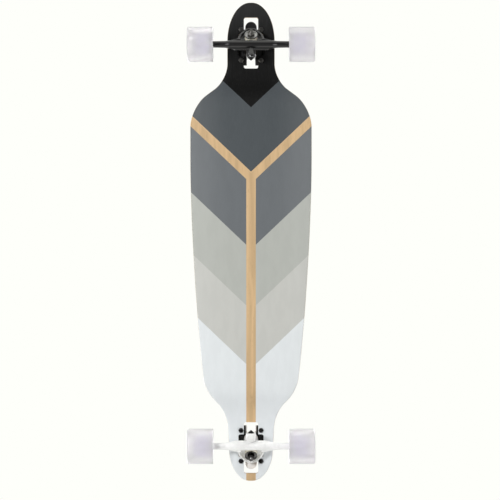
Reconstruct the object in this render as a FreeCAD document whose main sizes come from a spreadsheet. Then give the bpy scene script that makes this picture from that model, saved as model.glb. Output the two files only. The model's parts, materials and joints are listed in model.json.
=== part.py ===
import FreeCAD, Part
import math
import os
import re
import Sketcher
from FreeCAD import Placement, Rotation, Vector

# A drop-through longboard with reverse-kingpin trucks, in millimetres.
# World frame: X along the board with the nose at +X, Y to the left, Z up, floor at zero.
# Each truck has its own frame: u outward to the near end of the board, v across, w up from the deck top.

SIZES = (
    # deck
    ("deck_length", 990.0),
    ("deck_width", 251.0),
    ("deck_thickness", 11.5),
    ("nose_overhang", 88.0),
    ("tail_overhang", 73.0),
    ("nose_round", 80.0),
    ("tail_round", 66.5),
    ("nose_width", 98.0),
    ("tail_width", 91.0),
    ("tail_neck_taper", 3.0),
    ("front_shoulder", 92.5),
    ("front_shoulder_width", 153.0),
    ("front_shoulder_angle", 53.0),
    ("front_neck_radius", 65.0),
    ("front_hip_radius", 81.0),
    ("side_turn_share", 0.5525),
    ("side_taper", 6.74),
    ("side_bend_share", 0.966),
    ("rear_shoulder", 94.0),
    ("rear_shoulder_width", 150.0),
    ("rear_shoulder_angle", 43.0),
    ("rear_hip_radius", 72.0),
    ("rear_neck_radius", 73.0),
    ("platform_drop", 12.0),
    ("concave_depth", 7.0),
    ("bend_start", 52.0),
    ("bend_length", 75.0),
    ("grip_thickness", 1.0),
    ("grip_margin", 3.0),
    # truck cut-outs and mounting
    ("bolt_pitch_long", 63.5),
    ("bolt_pitch_wide", 41.3),
    ("bolt_diameter", 4.76),
    ("bolt_clearance", 0.2),
    ("bolt_head_diameter", 9.4),
    ("bolt_head_height", 2.8),
    ("bolt_socket", 3.2),
    ("bolt_tail", 2.0),
    ("lock_nut_flats", 9.5),
    ("lock_nut_height", 5.0),
    ("cutout_outer", 57.4),
    ("cutout_inner", 48.5),
    ("cutout_width", 29.6),
    ("cutout_wide_length", 46.8),
    ("cutout_wide_width", 52.0),
    ("cutout_corner", 4.0),
    ("pad_thickness", 3.0),
    ("flange_thickness", 7.0),
    ("flange_end_margin", 9.25),
    ("flange_side_margin", 9.35),
    ("flange_notch_width", 17.2),
    ("flange_step", 8.0),
    ("flange_nose_reach", 9.0),
    ("flange_nose_width", 24.0),
    # steering geometry of a truck
    ("steer_angle", 45.0),
    ("ring_forward", 9.0),
    ("ring_drop", 28.0),
    ("pivot_reach", 50.0),
    ("axle_setback", 3.0),
    ("axle_drop", 53.0),
    # baseplate
    ("leg_back", 28.0),
    ("leg_width", 20.0),
    ("socket_diameter", 20.0),
    ("socket_length", 14.0),
    ("heel_back", 31.0),
    ("heel_drop", 1.5),
    ("heel_length", 7.0),
    ("boss_diameter", 28.0),
    # pivot cup
    ("cup_diameter", 15.0),
    ("cup_lip", 1.5),
    ("cup_nub", 11.0),
    ("pivot_diameter", 12.0),
    ("pivot_clearance", 0.05),
    # kingpin stack
    ("kingpin_diameter", 9.5),
    ("kingpin_flats", 14.3),
    ("kingpin_head", 5.5),
    ("kingpin_seat", 39.5),
    ("kingpin_nut_height", 8.0),
    ("kingpin_tail", 4.0),
    ("bushing_diameter", 26.0),
    ("bushing_small_diameter", 23.0),
    ("bushing_bore", 10.2),
    ("boardside_bushing_height", 13.0),
    ("roadside_bushing_height", 9.0),
    ("washer_thickness", 1.5),
    ("washer_rim", 1.6),
    # hanger
    ("hanger_length", 174.0),
    ("hanger_arm_diameter", 13.4),
    ("hanger_collar_diameter", 14.8),
    ("hanger_collar_length", 5.0),
    ("hanger_bar_diameter", 17.0),
    ("hanger_bar_length", 90.0),
    ("hanger_belly", 11.5),
    ("hanger_belly_width", 64.0),
    ("web_thickness", 5.0),
    ("web_bore", 14.0),
    ("arch_apex", 24.0),
    ("arch_apex_width", 20.0),
    ("arch_apex_radius", 12.0),
    ("arch_shoulder", 7.0),
    ("arch_shoulder_width", 47.0),
    ("arch_shoulder_radius", 18.0),
    ("arch_foot", 31.0),
    ("arch_foot_width", 71.0),
    ("arch_height", 9.3),
    ("arch_wall", 3.2),
    ("flare_reach", 4.0),
    ("flare_start", 27.0),
    ("flare_length", 23.0),
    ("stem_diameter", 16.4),
    # axle and bearings
    ("axle_diameter", 8.0),
    ("axle_nut_flats", 12.7),
    ("axle_nut_height", 8.0),
    ("axle_tail", 1.0),
    ("speed_ring_thickness", 1.0),
    ("speed_ring_diameter", 11.2),
    ("bearing_width", 7.0),
    ("bearing_diameter", 22.0),
    ("bearing_gap", 10.0),
    ("inner_ring_diameter", 12.0),
    ("outer_ring_bore", 18.0),
    ("ball_diameter", 3.97),
    ("ball_pitch", 15.0),
    ("ball_clearance", 0.05),
    ("cage_thickness", 1.2),
    ("cage_back", 2.7),
    ("cage_front", 0.8),
    ("shield_thickness", 0.4),
    ("shield_inset", 0.1),
    ("shield_bore", 12.6),
    ("spacer_diameter", 10.4),
    # wheel
    ("wheel_diameter", 72.0),
    ("wheel_width", 53.5),
    ("wheel_inset", 9.5),
    ("tyre_edge", 5.0),
    ("tyre_lip", 2.0),
    ("tyre_recess_diameter", 50.0),
    ("core_diameter", 33.0),
    ("core_margin", 1.5),
    ("core_ridge", 1.6),
)

BALLS = 7
TRUCKS = (("front", 1), ("rear", -1))
SIDES = (("left", 1), ("right", -1))

doc = FreeCAD.newDocument("longboard")
sheet = doc.addObject("Spreadsheet::Sheet", "sizes")
for row, (size_name, size_value) in enumerate(SIZES, 1):
    sheet.set(f"A{row}", size_name)
    sheet.set(f"B{row}", str(size_value))
    sheet.setAlias(f"B{row}", size_name)
doc.recompute()

SIZE_NAMES = {size_name for size_name, _ in SIZES}

# Sizes that follow from the driving ones, as formulas of their names.
DERIVED = {
    "axle_z": "wheel_diameter / 2",
    "deck_top": "wheel_diameter / 2 + axle_drop",
    "front_truck": "deck_length / 2 - nose_overhang",
    "rear_truck": "tail_overhang - deck_length / 2",
    "wheelbase": "deck_length - nose_overhang - tail_overhang",
    "front_joint": "deck_length / 2 - nose_overhang - bend_start",
    "rear_joint": "tail_overhang - deck_length / 2 + bend_start",
    "flange_length": "bolt_pitch_long + 2 * flange_end_margin",
    "flange_width": "bolt_pitch_wide + 2 * flange_side_margin",
    "flange_bottom": "pad_thickness",
    "flange_top": "pad_thickness + flange_thickness",
    "flange_nose": "flange_length / 2 + flange_nose_reach",
    "flange_inner": "flange_length / 2 - flange_step",
    "seat": "web_thickness / 2",
    "roadside_top": "web_thickness / 2 + roadside_bushing_height",
    "boardside_top": "web_thickness / 2 + boardside_bushing_height",
    "hanger_end": "hanger_length / 2",
    "bearing_start": "hanger_length / 2 + speed_ring_thickness",
    "second_start": "hanger_length / 2 + speed_ring_thickness + bearing_width + bearing_gap",
    "bearing_end": "hanger_length / 2 + speed_ring_thickness + 2 * bearing_width + bearing_gap",
    "wheel_start": "hanger_length / 2 - wheel_inset",
    "wheel_end": "hanger_length / 2 - wheel_inset + wheel_width",
    "socket_front": "pivot_reach - socket_length + 4",
    "socket_back": "pivot_reach + 4",
}


def formula(text):
    """Spell a formula with every name replaced by its sheet cell or by the formula it stands for."""
    def spell(match):
        name = match.group(0)
        if name in DERIVED:
            return "(" + formula(DERIVED[name]) + ")"
        return "sizes." + name if name in SIZE_NAMES else name
    return re.sub(r"[a-z_]+", spell, str(text))


def value(text):
    """The present number of a formula."""
    return float(sheet.evalExpression(formula(text)))


def bind(thing, prop, text):
    """Tie a property to a formula of the sheet's sizes."""
    thing.setExpression(prop, formula(text))


def tilted(along, up):
    """Side-view place (u, w) of a point given along the steering axis and up the kingpin axis from the ring."""
    u = f"ring_forward + ({along}) * cos(steer_angle) - ({up}) * sin(steer_angle)"
    w = f"-ring_drop + ({along}) * sin(steer_angle) + ({up}) * cos(steer_angle)"
    return u, w


def new_body(label):
    body = doc.addObject("PartDesign::Body", label)
    body.Label = label
    body.AllowCompound = True
    return body


def new_sketch(body, plane, offset=("0", "0", "0"), turn=None):
    """A sketch on one of the body's origin planes, moved and turned by formulas."""
    sketch = body.newObject("Sketcher::SketchObject", body.Label + "_sketch")
    support = [item for item in body.Origin.OriginFeatures if item.Role == plane][0]
    sketch.AttachmentSupport = (support, [""])
    sketch.MapMode = "FlatFace"
    if turn:
        axis, angle = turn
        sketch.AttachmentOffset = Placement(Vector(), Rotation(axis, value(angle)))
        bind(sketch, "AttachmentOffset.Rotation.Angle", angle)
    for name, text in zip("xyz", offset):
        bind(sketch, "AttachmentOffset.Base." + name, text)
    return sketch


def side_sketch(body):
    """Upright lengthwise plane: x is u and y is w."""
    return new_sketch(body, "XZ_Plane")


def kingpin_sketch(body):
    """Upright lengthwise plane in the ring's frame: x along the steering axis, y up the kingpin."""
    return new_sketch(body, "XZ_Plane", ("ring_forward", "-ring_drop", "0"), (Vector(0, 0, 1), "steer_angle"))


def seat_sketch(body, height):
    """Plane square to the kingpin at a height along it: x along the steering axis, y across."""
    u, w = tilted("0", height)
    return new_sketch(body, "XY_Plane", (u, "0", w), (Vector(0, 1, 0), "-steer_angle"))


def level_sketch(body, height):
    """Level plane at height w: x is u and y is v."""
    return new_sketch(body, "XY_Plane", ("0", "0", height))


def axle_sketch(body):
    """Upright crosswise plane through the axle: x is v, y is the radius."""
    return new_sketch(body, "YZ_Plane", ("0", "-axle_drop", "-axle_setback"))


def fix_point(sketch, item, point, place):
    for kind, text in zip(("DistanceX", "DistanceY"), place):
        index = sketch.addConstraint(Sketcher.Constraint(kind, -1, 1, item, point, value(text)))
        bind(sketch, f"Constraints[{index}]", text)


def polygon(sketch, points):
    """A closed outline with every corner tied to its formulas."""
    first = sketch.GeometryCount
    corners = [Vector(value(x), value(y), 0) for x, y in points]
    count = len(corners)
    for index in range(count):
        line = Part.LineSegment(corners[index], corners[(index + 1) % count])
        sketch.addGeometry(line, False)
    for index in range(count):
        joint = Sketcher.Constraint("Coincident", first + index, 2, first + (index + 1) % count, 1)
        sketch.addConstraint(joint)
    for index, place in enumerate(points):
        fix_point(sketch, first + index, 1, place)


def race_ring(sketch, sign, start, plain, raced):
    """Half section of a bearing ring: a plain radius on one side, a ball groove in the other."""
    low, high, middle = (signed(sign, f"{start} + {share} * bearing_width") for share in (0, 1, 0.5))
    groove = "ball_diameter / 2 + ball_clearance"
    chord = f"sqrt(({groove}) ^ 2 - ({raced} - ball_pitch / 2) ^ 2)"
    near, far = f"{middle} - {chord}", f"{middle} + {chord}"
    if sign < 0:
        near, far = far, near
    points = ((low, raced), (low, plain), (high, plain), (high, raced), (far, raced), (near, raced))
    first = sketch.GeometryCount
    corners = [Vector(value(x), value(y), 0) for x, y in points]
    centre = Vector(value(middle), value("ball_pitch / 2"), 0)
    for index in (0, 1, 2, 3, 5):
        sketch.addGeometry(Part.LineSegment(corners[index], corners[(index + 1) % 6]), False)
    for index in range(3):
        sketch.addConstraint(Sketcher.Constraint("Coincident", first + index, 2, first + index + 1, 1))
    sketch.addConstraint(Sketcher.Constraint("Coincident", first + 4, 2, first, 1))
    for line, point, index in ((0, 1, 0), (1, 1, 1), (2, 1, 2), (3, 1, 3), (3, 2, 4), (4, 1, 5)):
        fix_point(sketch, first + line, point, points[index])
    ends = sorted(((corners[4], (3, 2)), (corners[5], (4, 1))), key=lambda end: end[0].x)
    if value(raced) > centre.y:
        ends.reverse()
    angles = [math.atan2(end.y - centre.y, end.x - centre.x) for end, _ in ends]
    curve = Part.Circle(centre, Vector(0, 0, 1), value(groove))
    arc = sketch.addGeometry(Part.ArcOfCircle(curve, angles[0], angles[1]), False)
    for point, (_, (line, line_point)) in enumerate(ends, 1):
        sketch.addConstraint(Sketcher.Constraint("Coincident", arc, point, first + line, line_point))
    index = sketch.addConstraint(Sketcher.Constraint("Radius", arc, value(groove)))
    bind(sketch, f"Constraints[{index}]", groove)


def circle(sketch, place, radius):
    centre = Vector(value(place[0]), value(place[1]), 0)
    item = sketch.addGeometry(Part.Circle(centre, Vector(0, 0, 1), value(radius)), False)
    fix_point(sketch, item, 3, place)
    index = sketch.addConstraint(Sketcher.Constraint("Radius", item, value(radius)))
    bind(sketch, f"Constraints[{index}]", radius)


def hexagon(sketch, place, flats):
    corners = []
    for step in range(6):
        angle = 60 * step
        x = f"{place[0]} + ({flats}) / sqrt(3) * cos({angle})"
        y = f"{place[1]} + ({flats}) / sqrt(3) * sin({angle})"
        corners.append((x, y))
    polygon(sketch, corners)


def box_outline(sketch, x_low, x_high, y_low, y_high):
    polygon(sketch, ((x_low, y_low), (x_high, y_low), (x_high, y_high), (x_low, y_high)))


def feature(body, kind, sketch, **settings):
    item = body.newObject("PartDesign::" + kind, body.Label + "_" + kind.lower())
    item.Profile = sketch
    for name, setting in settings.items():
        setattr(item, name, setting)
    return item


def revolve(body, sketch, axis, kind="Revolution"):
    item = feature(body, kind, sketch, ReferenceAxis=(sketch, [axis]), Angle=360.0)
    doc.recompute()
    return item


def extrude(body, sketch, length, kind="Pad", reverse=False, middle=False):
    item = feature(body, kind, sketch, Reversed=reverse)
    if middle:
        item.SideType = "Symmetric"
    bind(item, "Length", length)
    doc.recompute()
    return item


def round_edges(body, radius, chosen):
    """Round the edges of the body's last feature for which chosen(edge) is true."""
    base = body.Tip
    names = [f"Edge{n}" for n, edge in enumerate(base.Shape.Edges, 1) if chosen(edge)]
    item = body.newObject("PartDesign::Fillet", body.Label + "_fillet")
    item.Base = (base, names)
    bind(item, "Radius", radius)
    doc.recompute()
    return item


def upright_at(places):
    """Chooser of upright edges that stand at the given (x, y) formulas."""
    spots = [(value(x), value(y)) for x, y in places]

    def chosen(edge):
        ends = [vertex.Point for vertex in edge.Vertexes]
        if len(ends) != 2 or (ends[0] - ends[1]).cross(Vector(0, 0, 1)).Length > 1e-6:
            return False
        return any(abs(ends[0].x - x) < 0.01 and abs(ends[0].y - y) < 0.01 for x, y in spots)
    return chosen


def round_at(radius_size, centre_v):
    """Chooser of full circles about the axle with this radius, at this place across."""
    radius, across = value(radius_size), value(centre_v)

    def chosen(edge):
        curve = edge.Curve
        return (isinstance(curve, Part.Circle) and abs(curve.Radius - radius) < 0.01
                and abs(curve.Center.y - across) < 0.01)
    return chosen


def place_in_truck(thing, truck, direction):
    """Put a piece drawn in the truck frame in its place on the board."""
    thing.Placement = Placement(Vector(), Rotation(Vector(0, 0, 1), 0 if direction > 0 else 180))
    bind(thing, "Placement.Base.x", truck + "_truck")
    bind(thing, "Placement.Base.z", "deck_top")


NODES = []


def finish(thing, label):
    thing.Label = label
    NODES.append(thing)


def signed(sign, text):
    return text if sign > 0 else f"-({text})"


def mirrored(points):
    """Complete an outline given for v above zero with its mirror image."""
    return list(points) + [(x, f"-({y})") for x, y in reversed(points)]


def bolt_places():
    return [(f"{a} * bolt_pitch_long / 2", f"{b} * bolt_pitch_wide / 2") for a in (-1, 1) for b in (-1, 1)]


# Deck

def crossing(first, first_angle, second, second_angle):
    """Where two plan lines meet, each given by a point and its angle to the length of the board."""
    along = Vector(math.cos(math.radians(first_angle)), math.sin(math.radians(first_angle)), 0)
    normal = Vector(-math.sin(math.radians(second_angle)), math.cos(math.radians(second_angle)), 0)
    return first + along * ((second - first).dot(normal) / along.dot(normal))


def rounded_path(points, radii):
    """Straight runs between points, with each inner corner rounded by a tangent arc."""
    edges = []
    start = points[0]
    for before, corner, after, radius in zip(points, points[1:], points[2:], radii):
        toward, away = (before - corner).normalize(), (after - corner).normalize()
        half_angle = toward.getAngle(away) / 2
        reach = radius / math.tan(half_angle)
        middle = (toward + away).normalize() * (radius / math.sin(half_angle) - radius)
        edges.append(Part.LineSegment(start, corner + toward * reach).toShape())
        edges.append(Part.Arc(corner + toward * reach, corner + middle, corner + away * reach).toShape())
        start = corner + away * reach
    edges.append(Part.LineSegment(start, points[-1]).toShape())
    return edges


def outline_wire(inset):
    """Plan outline, drawn in by an inset: half ellipses at nose and tail, straight runs and arcs along each side."""
    tip = value("deck_length") / 2
    front, rear = value("front_truck"), value("rear_truck")
    nose = Vector(tip - value("nose_round"), value("nose_width") / 2 - inset, 0)
    tail = Vector(value("tail_round") - tip, value("tail_width") / 2 - inset, 0)
    turn = Vector(front - value("side_turn_share * wheelbase"), value("deck_width") / 2 - inset, 0)
    front_slope, rear_slope = -value("front_shoulder_angle"), value("rear_shoulder_angle")
    front_middle = Vector(front - value("front_shoulder"), value("front_shoulder_width") / 2, 0)
    rear_middle = Vector(rear + value("rear_shoulder"), value("rear_shoulder_width") / 2, 0)
    front_middle += inward(front_slope) * inset
    rear_middle += inward(rear_slope) * inset
    points = [
        nose,
        crossing(front_middle, front_slope, nose, 0),
        crossing(front_middle, front_slope, turn, 0),
        turn,
        crossing(rear_middle, rear_slope, turn, value("side_taper")),
        crossing(rear_middle, rear_slope, tail, value("tail_neck_taper")),
        tail,
    ]
    # the long side curve takes up a share of the straight run between the widest place and the rear hip
    taper = math.radians(value("side_taper"))
    hip_reach = value("rear_hip_radius") * math.tan((math.radians(rear_slope) - taper) / 2)
    side_reach = value("side_bend_share") * ((points[4] - turn).Length - hip_reach)
    radii = [
        value("front_neck_radius") + inset,
        value("front_hip_radius") - inset,
        side_reach / math.tan(taper / 2),
        value("rear_hip_radius") - inset,
        value("rear_neck_radius") + inset,
    ]
    edges = rounded_path(points, radii)
    edges += [edge.mirror(Vector(), Vector(0, 1, 0)) for edge in edges]
    edges.append(half_ellipse(nose.x, tip - inset, nose.y))
    edges.append(half_ellipse(tail.x, inset - tip, tail.y))
    return Part.Wire(Part.__sortEdges__(edges))


def inward(angle):
    """Unit vector from a left-hand outline run at this angle toward the middle of the board."""
    return Vector(math.sin(math.radians(angle)), -math.cos(math.radians(angle)), 0)


def half_ellipse(start, tip, half_width):
    """Half an ellipse from one side of the board round the tip to the other."""
    centre, end, side = Vector(start, 0, 0), Vector(tip, 0, 0), Vector(start, half_width, 0)
    if abs(tip - start) > half_width:
        curve = Part.Ellipse(end, side, centre)
        order = (-1, 1)
    else:
        curve = Part.Ellipse(side, end, centre)
        order = (1, -1)
    ends = [curve.parameter(Vector(start, sign * half_width, 0)) for sign in order]
    return Part.Arc(curve, ends[0], ends[1]).toShape()


def saddle_face(lift):
    """The curved middle of the deck: dropped between the platforms and dished across, at a lift above the underside."""
    rear, front = value("rear_joint"), value("front_joint")
    bend = value("bend_length")
    level = value("deck_top") - value("deck_thickness") + lift
    drop, dish, half = value("platform_drop"), value("concave_depth"), value("deck_width") / 2
    rises = (0.0, 0.35, 0.65, 1.0, 1.6)
    stations = [(rear + bend * rise, 0 if rise < 0.5 else 1) for rise in rises]
    stations += [(front - bend * rise, 0 if rise < 0.5 else 1) for rise in reversed(rises)]
    poles = []
    for x, low in stations:
        middle = level - drop * low
        poles.append([Vector(x, -half, middle + dish * low), Vector(x, 0, middle - dish * low),
                      Vector(x, half, middle + dish * low)])
    surface = Part.BSplineSurface()
    surface.buildFromPolesMultsKnots(poles, (4, 1, 1, 1, 1, 1, 1, 4), (3, 3), range(8), (0, 1), False, False, 3, 2)
    return surface.toShape()


def platform(label, low, high, lift, thickness):
    """A flat end plate of the deck or of the grip tape."""
    plate = doc.addObject("Part::Box", label)
    bind(plate, "Length", f"{high} - ({low})")
    bind(plate, "Width", "deck_width")
    bind(plate, "Height", thickness)
    bind(plate, "Placement.Base.x", low)
    bind(plate, "Placement.Base.y", "-deck_width / 2")
    bind(plate, "Placement.Base.z", f"deck_top - deck_thickness + {lift}")
    return plate


def layer(label, lift, thickness, inset):
    """One layer of the board: flat platforms and a curved middle, trimmed to the plan outline."""
    face = doc.addObject("Part::Feature", label + "_face")
    face.Shape = saddle_face(value(lift))
    middle = doc.addObject("Part::Extrusion", label + "_middle")
    middle.Base = face
    middle.DirMode = "Custom"
    middle.Dir = Vector(0, 0, 1)
    bind(middle, "LengthFwd", thickness)
    slab = doc.addObject("Part::MultiFuse", label + "_slab")
    slab.Shapes = [
        platform(label + "_nose", "front_joint", "deck_length / 2", lift, thickness),
        middle,
        platform(label + "_tail", "-deck_length / 2", "rear_joint", lift, thickness),
    ]
    plan = doc.addObject("Part::Feature", label + "_plan")
    plan.Shape = Part.Face(outline_wire(value(inset)))
    prism = doc.addObject("Part::Extrusion", label + "_prism")
    prism.Base = plan
    prism.DirMode = "Custom"
    prism.Dir = Vector(0, 0, 1)
    bind(prism, "LengthFwd", "2 * deck_top")
    trimmed = doc.addObject("Part::MultiCommon", label + "_trimmed")
    trimmed.Shapes = [slab, prism]
    return trimmed


def cutout_body(truck, direction):
    """The opening that the truck drops through, with the four bolt holes."""
    body = new_body(truck + "_cutout")
    sketch = level_sketch(body, "-2 * deck_thickness")
    ends = (("-cutout_inner", "cutout_width / 2"), ("cutout_outer", "cutout_width / 2"))
    wide = (("-cutout_wide_length / 2", "cutout_width / 2"), ("-cutout_wide_length / 2", "cutout_wide_width / 2"),
            ("cutout_wide_length / 2", "cutout_wide_width / 2"), ("cutout_wide_length / 2", "cutout_width / 2"))
    half = (ends[0],) + wide + (ends[1],)
    polygon(sketch, mirrored(half))
    extrude(body, sketch, "4 * deck_thickness")
    round_edges(body, "cutout_corner", upright_at(mirrored(half)))
    holes = level_sketch(body, "-2 * deck_thickness")
    for place in bolt_places():
        circle(holes, place, "bolt_diameter / 2 + bolt_clearance")
    extrude(body, holes, "4 * deck_thickness")
    place_in_truck(body, truck, direction)
    return body


def pad_outline():
    return (("-flange_length / 2", "cup_diameter / 2 + 3.5"), ("-flange_length / 2", "flange_width / 2"),
            ("flange_length / 2", "flange_width / 2"), ("flange_length / 2", "cutout_width / 2"),
            ("flange_inner", "cutout_width / 2"))


def grip_window(truck, direction):
    """The opening in the grip tape round the riser pad."""
    body = new_body(truck + "_grip_window")
    sketch = level_sketch(body, "-deck_thickness")
    wide, narrow = "flange_width / 2 + grip_margin", "cutout_width / 2 + grip_margin"
    shoulder = "flange_length / 2 + grip_margin"
    broad = (("-cutout_inner - grip_margin", wide), (shoulder, wide))
    polygon(sketch, mirrored(broad + ((shoulder, narrow), ("cutout_outer + grip_margin", narrow))))
    extrude(body, sketch, "3 * deck_thickness")
    round_edges(body, "flange_side_margin + grip_margin", upright_at(mirrored(broad)))
    place_in_truck(body, truck, direction)
    return body


def build_deck():
    cutters = doc.addObject("Part::MultiFuse", "deck_cutters")
    cutters.Shapes = [cutout_body(truck, direction) for truck, direction in TRUCKS]
    deck = doc.addObject("Part::Cut", "deck")
    deck.Base = layer("deck", "0", "deck_thickness", "0")
    deck.Tool = cutters
    finish(deck, "deck")
    windows = doc.addObject("Part::MultiFuse", "grip_windows")
    windows.Shapes = [grip_window(truck, direction) for truck, direction in TRUCKS]
    grip = doc.addObject("Part::Cut", "grip_tape")
    grip.Base = layer("grip", "deck_thickness", "grip_thickness", "grip_margin")
    grip.Tool = windows
    finish(grip, "grip_tape")


# Truck parts that stay with the deck

def build_mounting(truck, direction):
    bolts = new_body(truck + "_mounting_bolts")
    shanks = level_sketch(bolts, "flange_top")
    heads = level_sketch(bolts, "flange_top")
    sockets = level_sketch(bolts, "flange_top + bolt_head_height")
    nuts = new_body(truck + "_mounting_nuts")
    hexes = level_sketch(nuts, "-deck_thickness")
    for place in bolt_places():
        circle(shanks, place, "bolt_diameter / 2")
        circle(heads, place, "bolt_head_diameter / 2")
        hexagon(sockets, place, "bolt_socket")
        hexagon(hexes, place, "lock_nut_flats")
        circle(hexes, place, "bolt_diameter / 2")
    extrude(bolts, shanks, "flange_top + deck_thickness + lock_nut_height + bolt_tail", reverse=True)
    extrude(bolts, heads, "bolt_head_height")
    rim = value("flange_top + bolt_head_height")
    round_edges(bolts, "bolt_head_height / 3",
                lambda edge: abs(edge.BoundBox.ZMin - rim) < 0.01 and abs(edge.BoundBox.ZMax - rim) < 0.01)
    extrude(bolts, sockets, "bolt_head_height * 0.6", kind="Pocket")
    extrude(nuts, hexes, "lock_nut_height", reverse=True)
    for body in (bolts, nuts):
        place_in_truck(body, truck, direction)
        finish(body, body.Label)


def build_pad(truck, direction):
    body = new_body(truck + "_riser_pad")
    sketch = level_sketch(body, "0")
    half = pad_outline()
    inside = (("cutout_wide_length / 4", "cutout_width / 2"), ("-cutout_wide_length / 3", "cutout_width / 2"),
              ("-cutout_wide_length / 3", "leg_width / 2 + 1"), ("-flange_length / 2", "leg_width / 2 + 1"))
    upper = inside + half[1:]
    polygon(sketch, mirrored(upper))
    # windows at the outer end, as wide as the cut-out below
    for side in (1, -1):
        box_outline(sketch, "cutout_wide_length / 4 + 1", "cutout_wide_length / 2",
                    signed(side, "cutout_width / 2"), signed(side, "cutout_wide_width / 2"))
    for place in bolt_places():
        circle(sketch, place, "bolt_diameter / 2 + bolt_clearance")
    extrude(body, sketch, "pad_thickness")
    corners = [(f"{a} * flange_length / 2", f"{b} * flange_width / 2") for a in (-1, 1) for b in (-1, 1)]
    round_edges(body, "flange_side_margin", upright_at(corners))
    place_in_truck(body, truck, direction)
    finish(body, body.Label)


def build_baseplate(truck, direction):
    body = new_body(truck + "_baseplate")
    plate = level_sketch(body, "flange_bottom")
    notch = "flange_notch_width / 2"
    half = (("-leg_back", notch), ("-flange_length / 2", notch),
            ("-flange_length / 2", "flange_width / 2"), ("flange_length / 2", "flange_width / 2"),
            ("flange_length / 2", "cutout_width / 2"), ("flange_inner", "cutout_width / 2"),
            ("flange_inner", "flange_nose_width / 2"), ("flange_nose", "flange_nose_width / 2"))
    polygon(plate, mirrored(half))
    extrude(body, plate, "flange_thickness")
    corners = [(f"{a} * flange_length / 2", f"{b} * flange_width / 2") for a in (-1, 1) for b in (-1, 1)]
    round_edges(body, "flange_side_margin", upright_at(corners))
    nose = [("flange_nose", f"{b} * flange_nose_width / 2") for b in (-1, 1)]
    round_edges(body, "flange_nose_width / 2 - 0.1", upright_at(nose))
    block = side_sketch(body)
    foot = "flange_bottom + flange_thickness / 2"
    polygon(block, (
        ("-leg_back", foot),
        ("-heel_back", tilted("-socket_back", "socket_diameter / 2")[1]),
        tilted("-socket_back + 1", "0"),
        tilted("-socket_front - 1", "0"),
        tilted("-socket_front - 1", "socket_diameter / 2"),
        tilted("-bushing_diameter / 2 - 4", "socket_diameter / 2"),
        tilted("-bushing_diameter / 2 - 4", "boardside_top + washer_thickness + 1"),
        tilted("bushing_diameter / 2 - 3", "boardside_top + washer_thickness + 1"),
        (f"{tilted('bushing_diameter / 2 - 3', 'boardside_top + washer_thickness + 1')[0]} + 0.5", foot),
    ))
    extrude(body, block, "leg_width", middle=True)
    boss = kingpin_sketch(body)
    box_outline(boss, "0", "boss_diameter / 2", "boardside_top + washer_thickness", "kingpin_seat - 3.5")
    revolve(body, boss, "V_Axis")
    socket = kingpin_sketch(body)
    box_outline(socket, "-socket_back", "-socket_front", "0", "socket_diameter / 2")
    revolve(body, socket, "H_Axis")
    # the heel closes the socket below, and its end is cut off upright where the cup looks out
    heel_axis = f"{tilted('-socket_back', '-socket_diameter / 2')[1]} - heel_drop + socket_diameter / 2"
    heel = new_sketch(body, "XZ_Plane", ("0", heel_axis, "0"))
    box_outline(heel, "-heel_back", "heel_length - heel_back", "0", "socket_diameter / 2")
    revolve(body, heel, "H_Axis")
    end = side_sketch(body)
    box_outline(end, "-heel_back - 2 * socket_diameter", "-heel_back", "-3 * ring_drop", "flange_bottom")
    extrude(body, end, "2 * socket_diameter", kind="Pocket", middle=True)
    bore = kingpin_sketch(body)
    polygon(bore, (("-socket_front + 1", "0"), ("-socket_front + 1", "cup_diameter / 2"),
                   ("-socket_back", "cup_diameter / 2"), ("-socket_back - cup_nub", "cup_diameter / 10"),
                   ("-socket_back - cup_nub", "0")))
    revolve(body, bore, "H_Axis", "Groove")
    shank = kingpin_sketch(body)
    polygon(shank, (("0", "boardside_top - 5"), ("kingpin_diameter / 2", "boardside_top - 5"),
                    ("kingpin_diameter / 2", "kingpin_seat"), ("kingpin_flats / 2 + 1.7", "kingpin_seat"),
                    ("kingpin_flats / 2 + 1.7", "2 * kingpin_seat"), ("0", "2 * kingpin_seat")))
    revolve(body, shank, "V_Axis", "Groove")
    holes = level_sketch(body, "flange_top")
    for place in bolt_places():
        circle(holes, place, "bolt_diameter / 2 + bolt_clearance")
    extrude(body, holes, "flange_thickness + 1", kind="Pocket")
    place_in_truck(body, truck, direction)
    finish(body, body.Label)


def build_pivot_cup(truck, direction):
    body = new_body(truck + "_pivot_cup")
    sketch = kingpin_sketch(body)
    wall = "cup_diameter / 2"
    polygon(sketch, (
        ("-socket_front + cup_lip", "pivot_diameter / 2 + pivot_clearance"),
        ("-socket_front + cup_lip", "cup_diameter / 2 + 1.2"),
        ("-socket_front", "cup_diameter / 2 + 1.2"),
        ("-socket_front", wall),
        ("-socket_back", wall),
        ("-socket_back - cup_nub", "cup_diameter / 10"),
        ("-socket_back - cup_nub", "0"),
        ("-socket_back - 2", "0"),
        ("-socket_back - 2", "pivot_diameter / 2 + pivot_clearance"),
    ))
    revolve(body, sketch, "H_Axis")
    place_in_truck(body, truck, direction)
    finish(body, body.Label)


def ring_body(label, make_sketch, axis, outlines, truck, direction):
    """One or more rings turned from outlines about an axis."""
    body = new_body(label)
    sketch = make_sketch(body)
    for outline in outlines:
        polygon(sketch, outline)
    revolve(body, sketch, axis)
    place_in_truck(body, truck, direction)
    return body


def bushing_outline(base, height, sign, radius_far):
    """Half section of a bushing that stands on the ring's web, with rounded-off edges cut as bevels."""
    far = f"{base} + {height}"
    bore, wide = "bushing_bore / 2", "bushing_diameter / 2"
    points = ((bore, base), (f"{wide} - 0.8", base), (wide, f"{base} + 0.8"), (radius_far, f"{far} - 0.8"),
              (f"{radius_far} - 0.8", far), (bore, far))
    return [(x, signed(sign, y)) for x, y in points]


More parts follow.
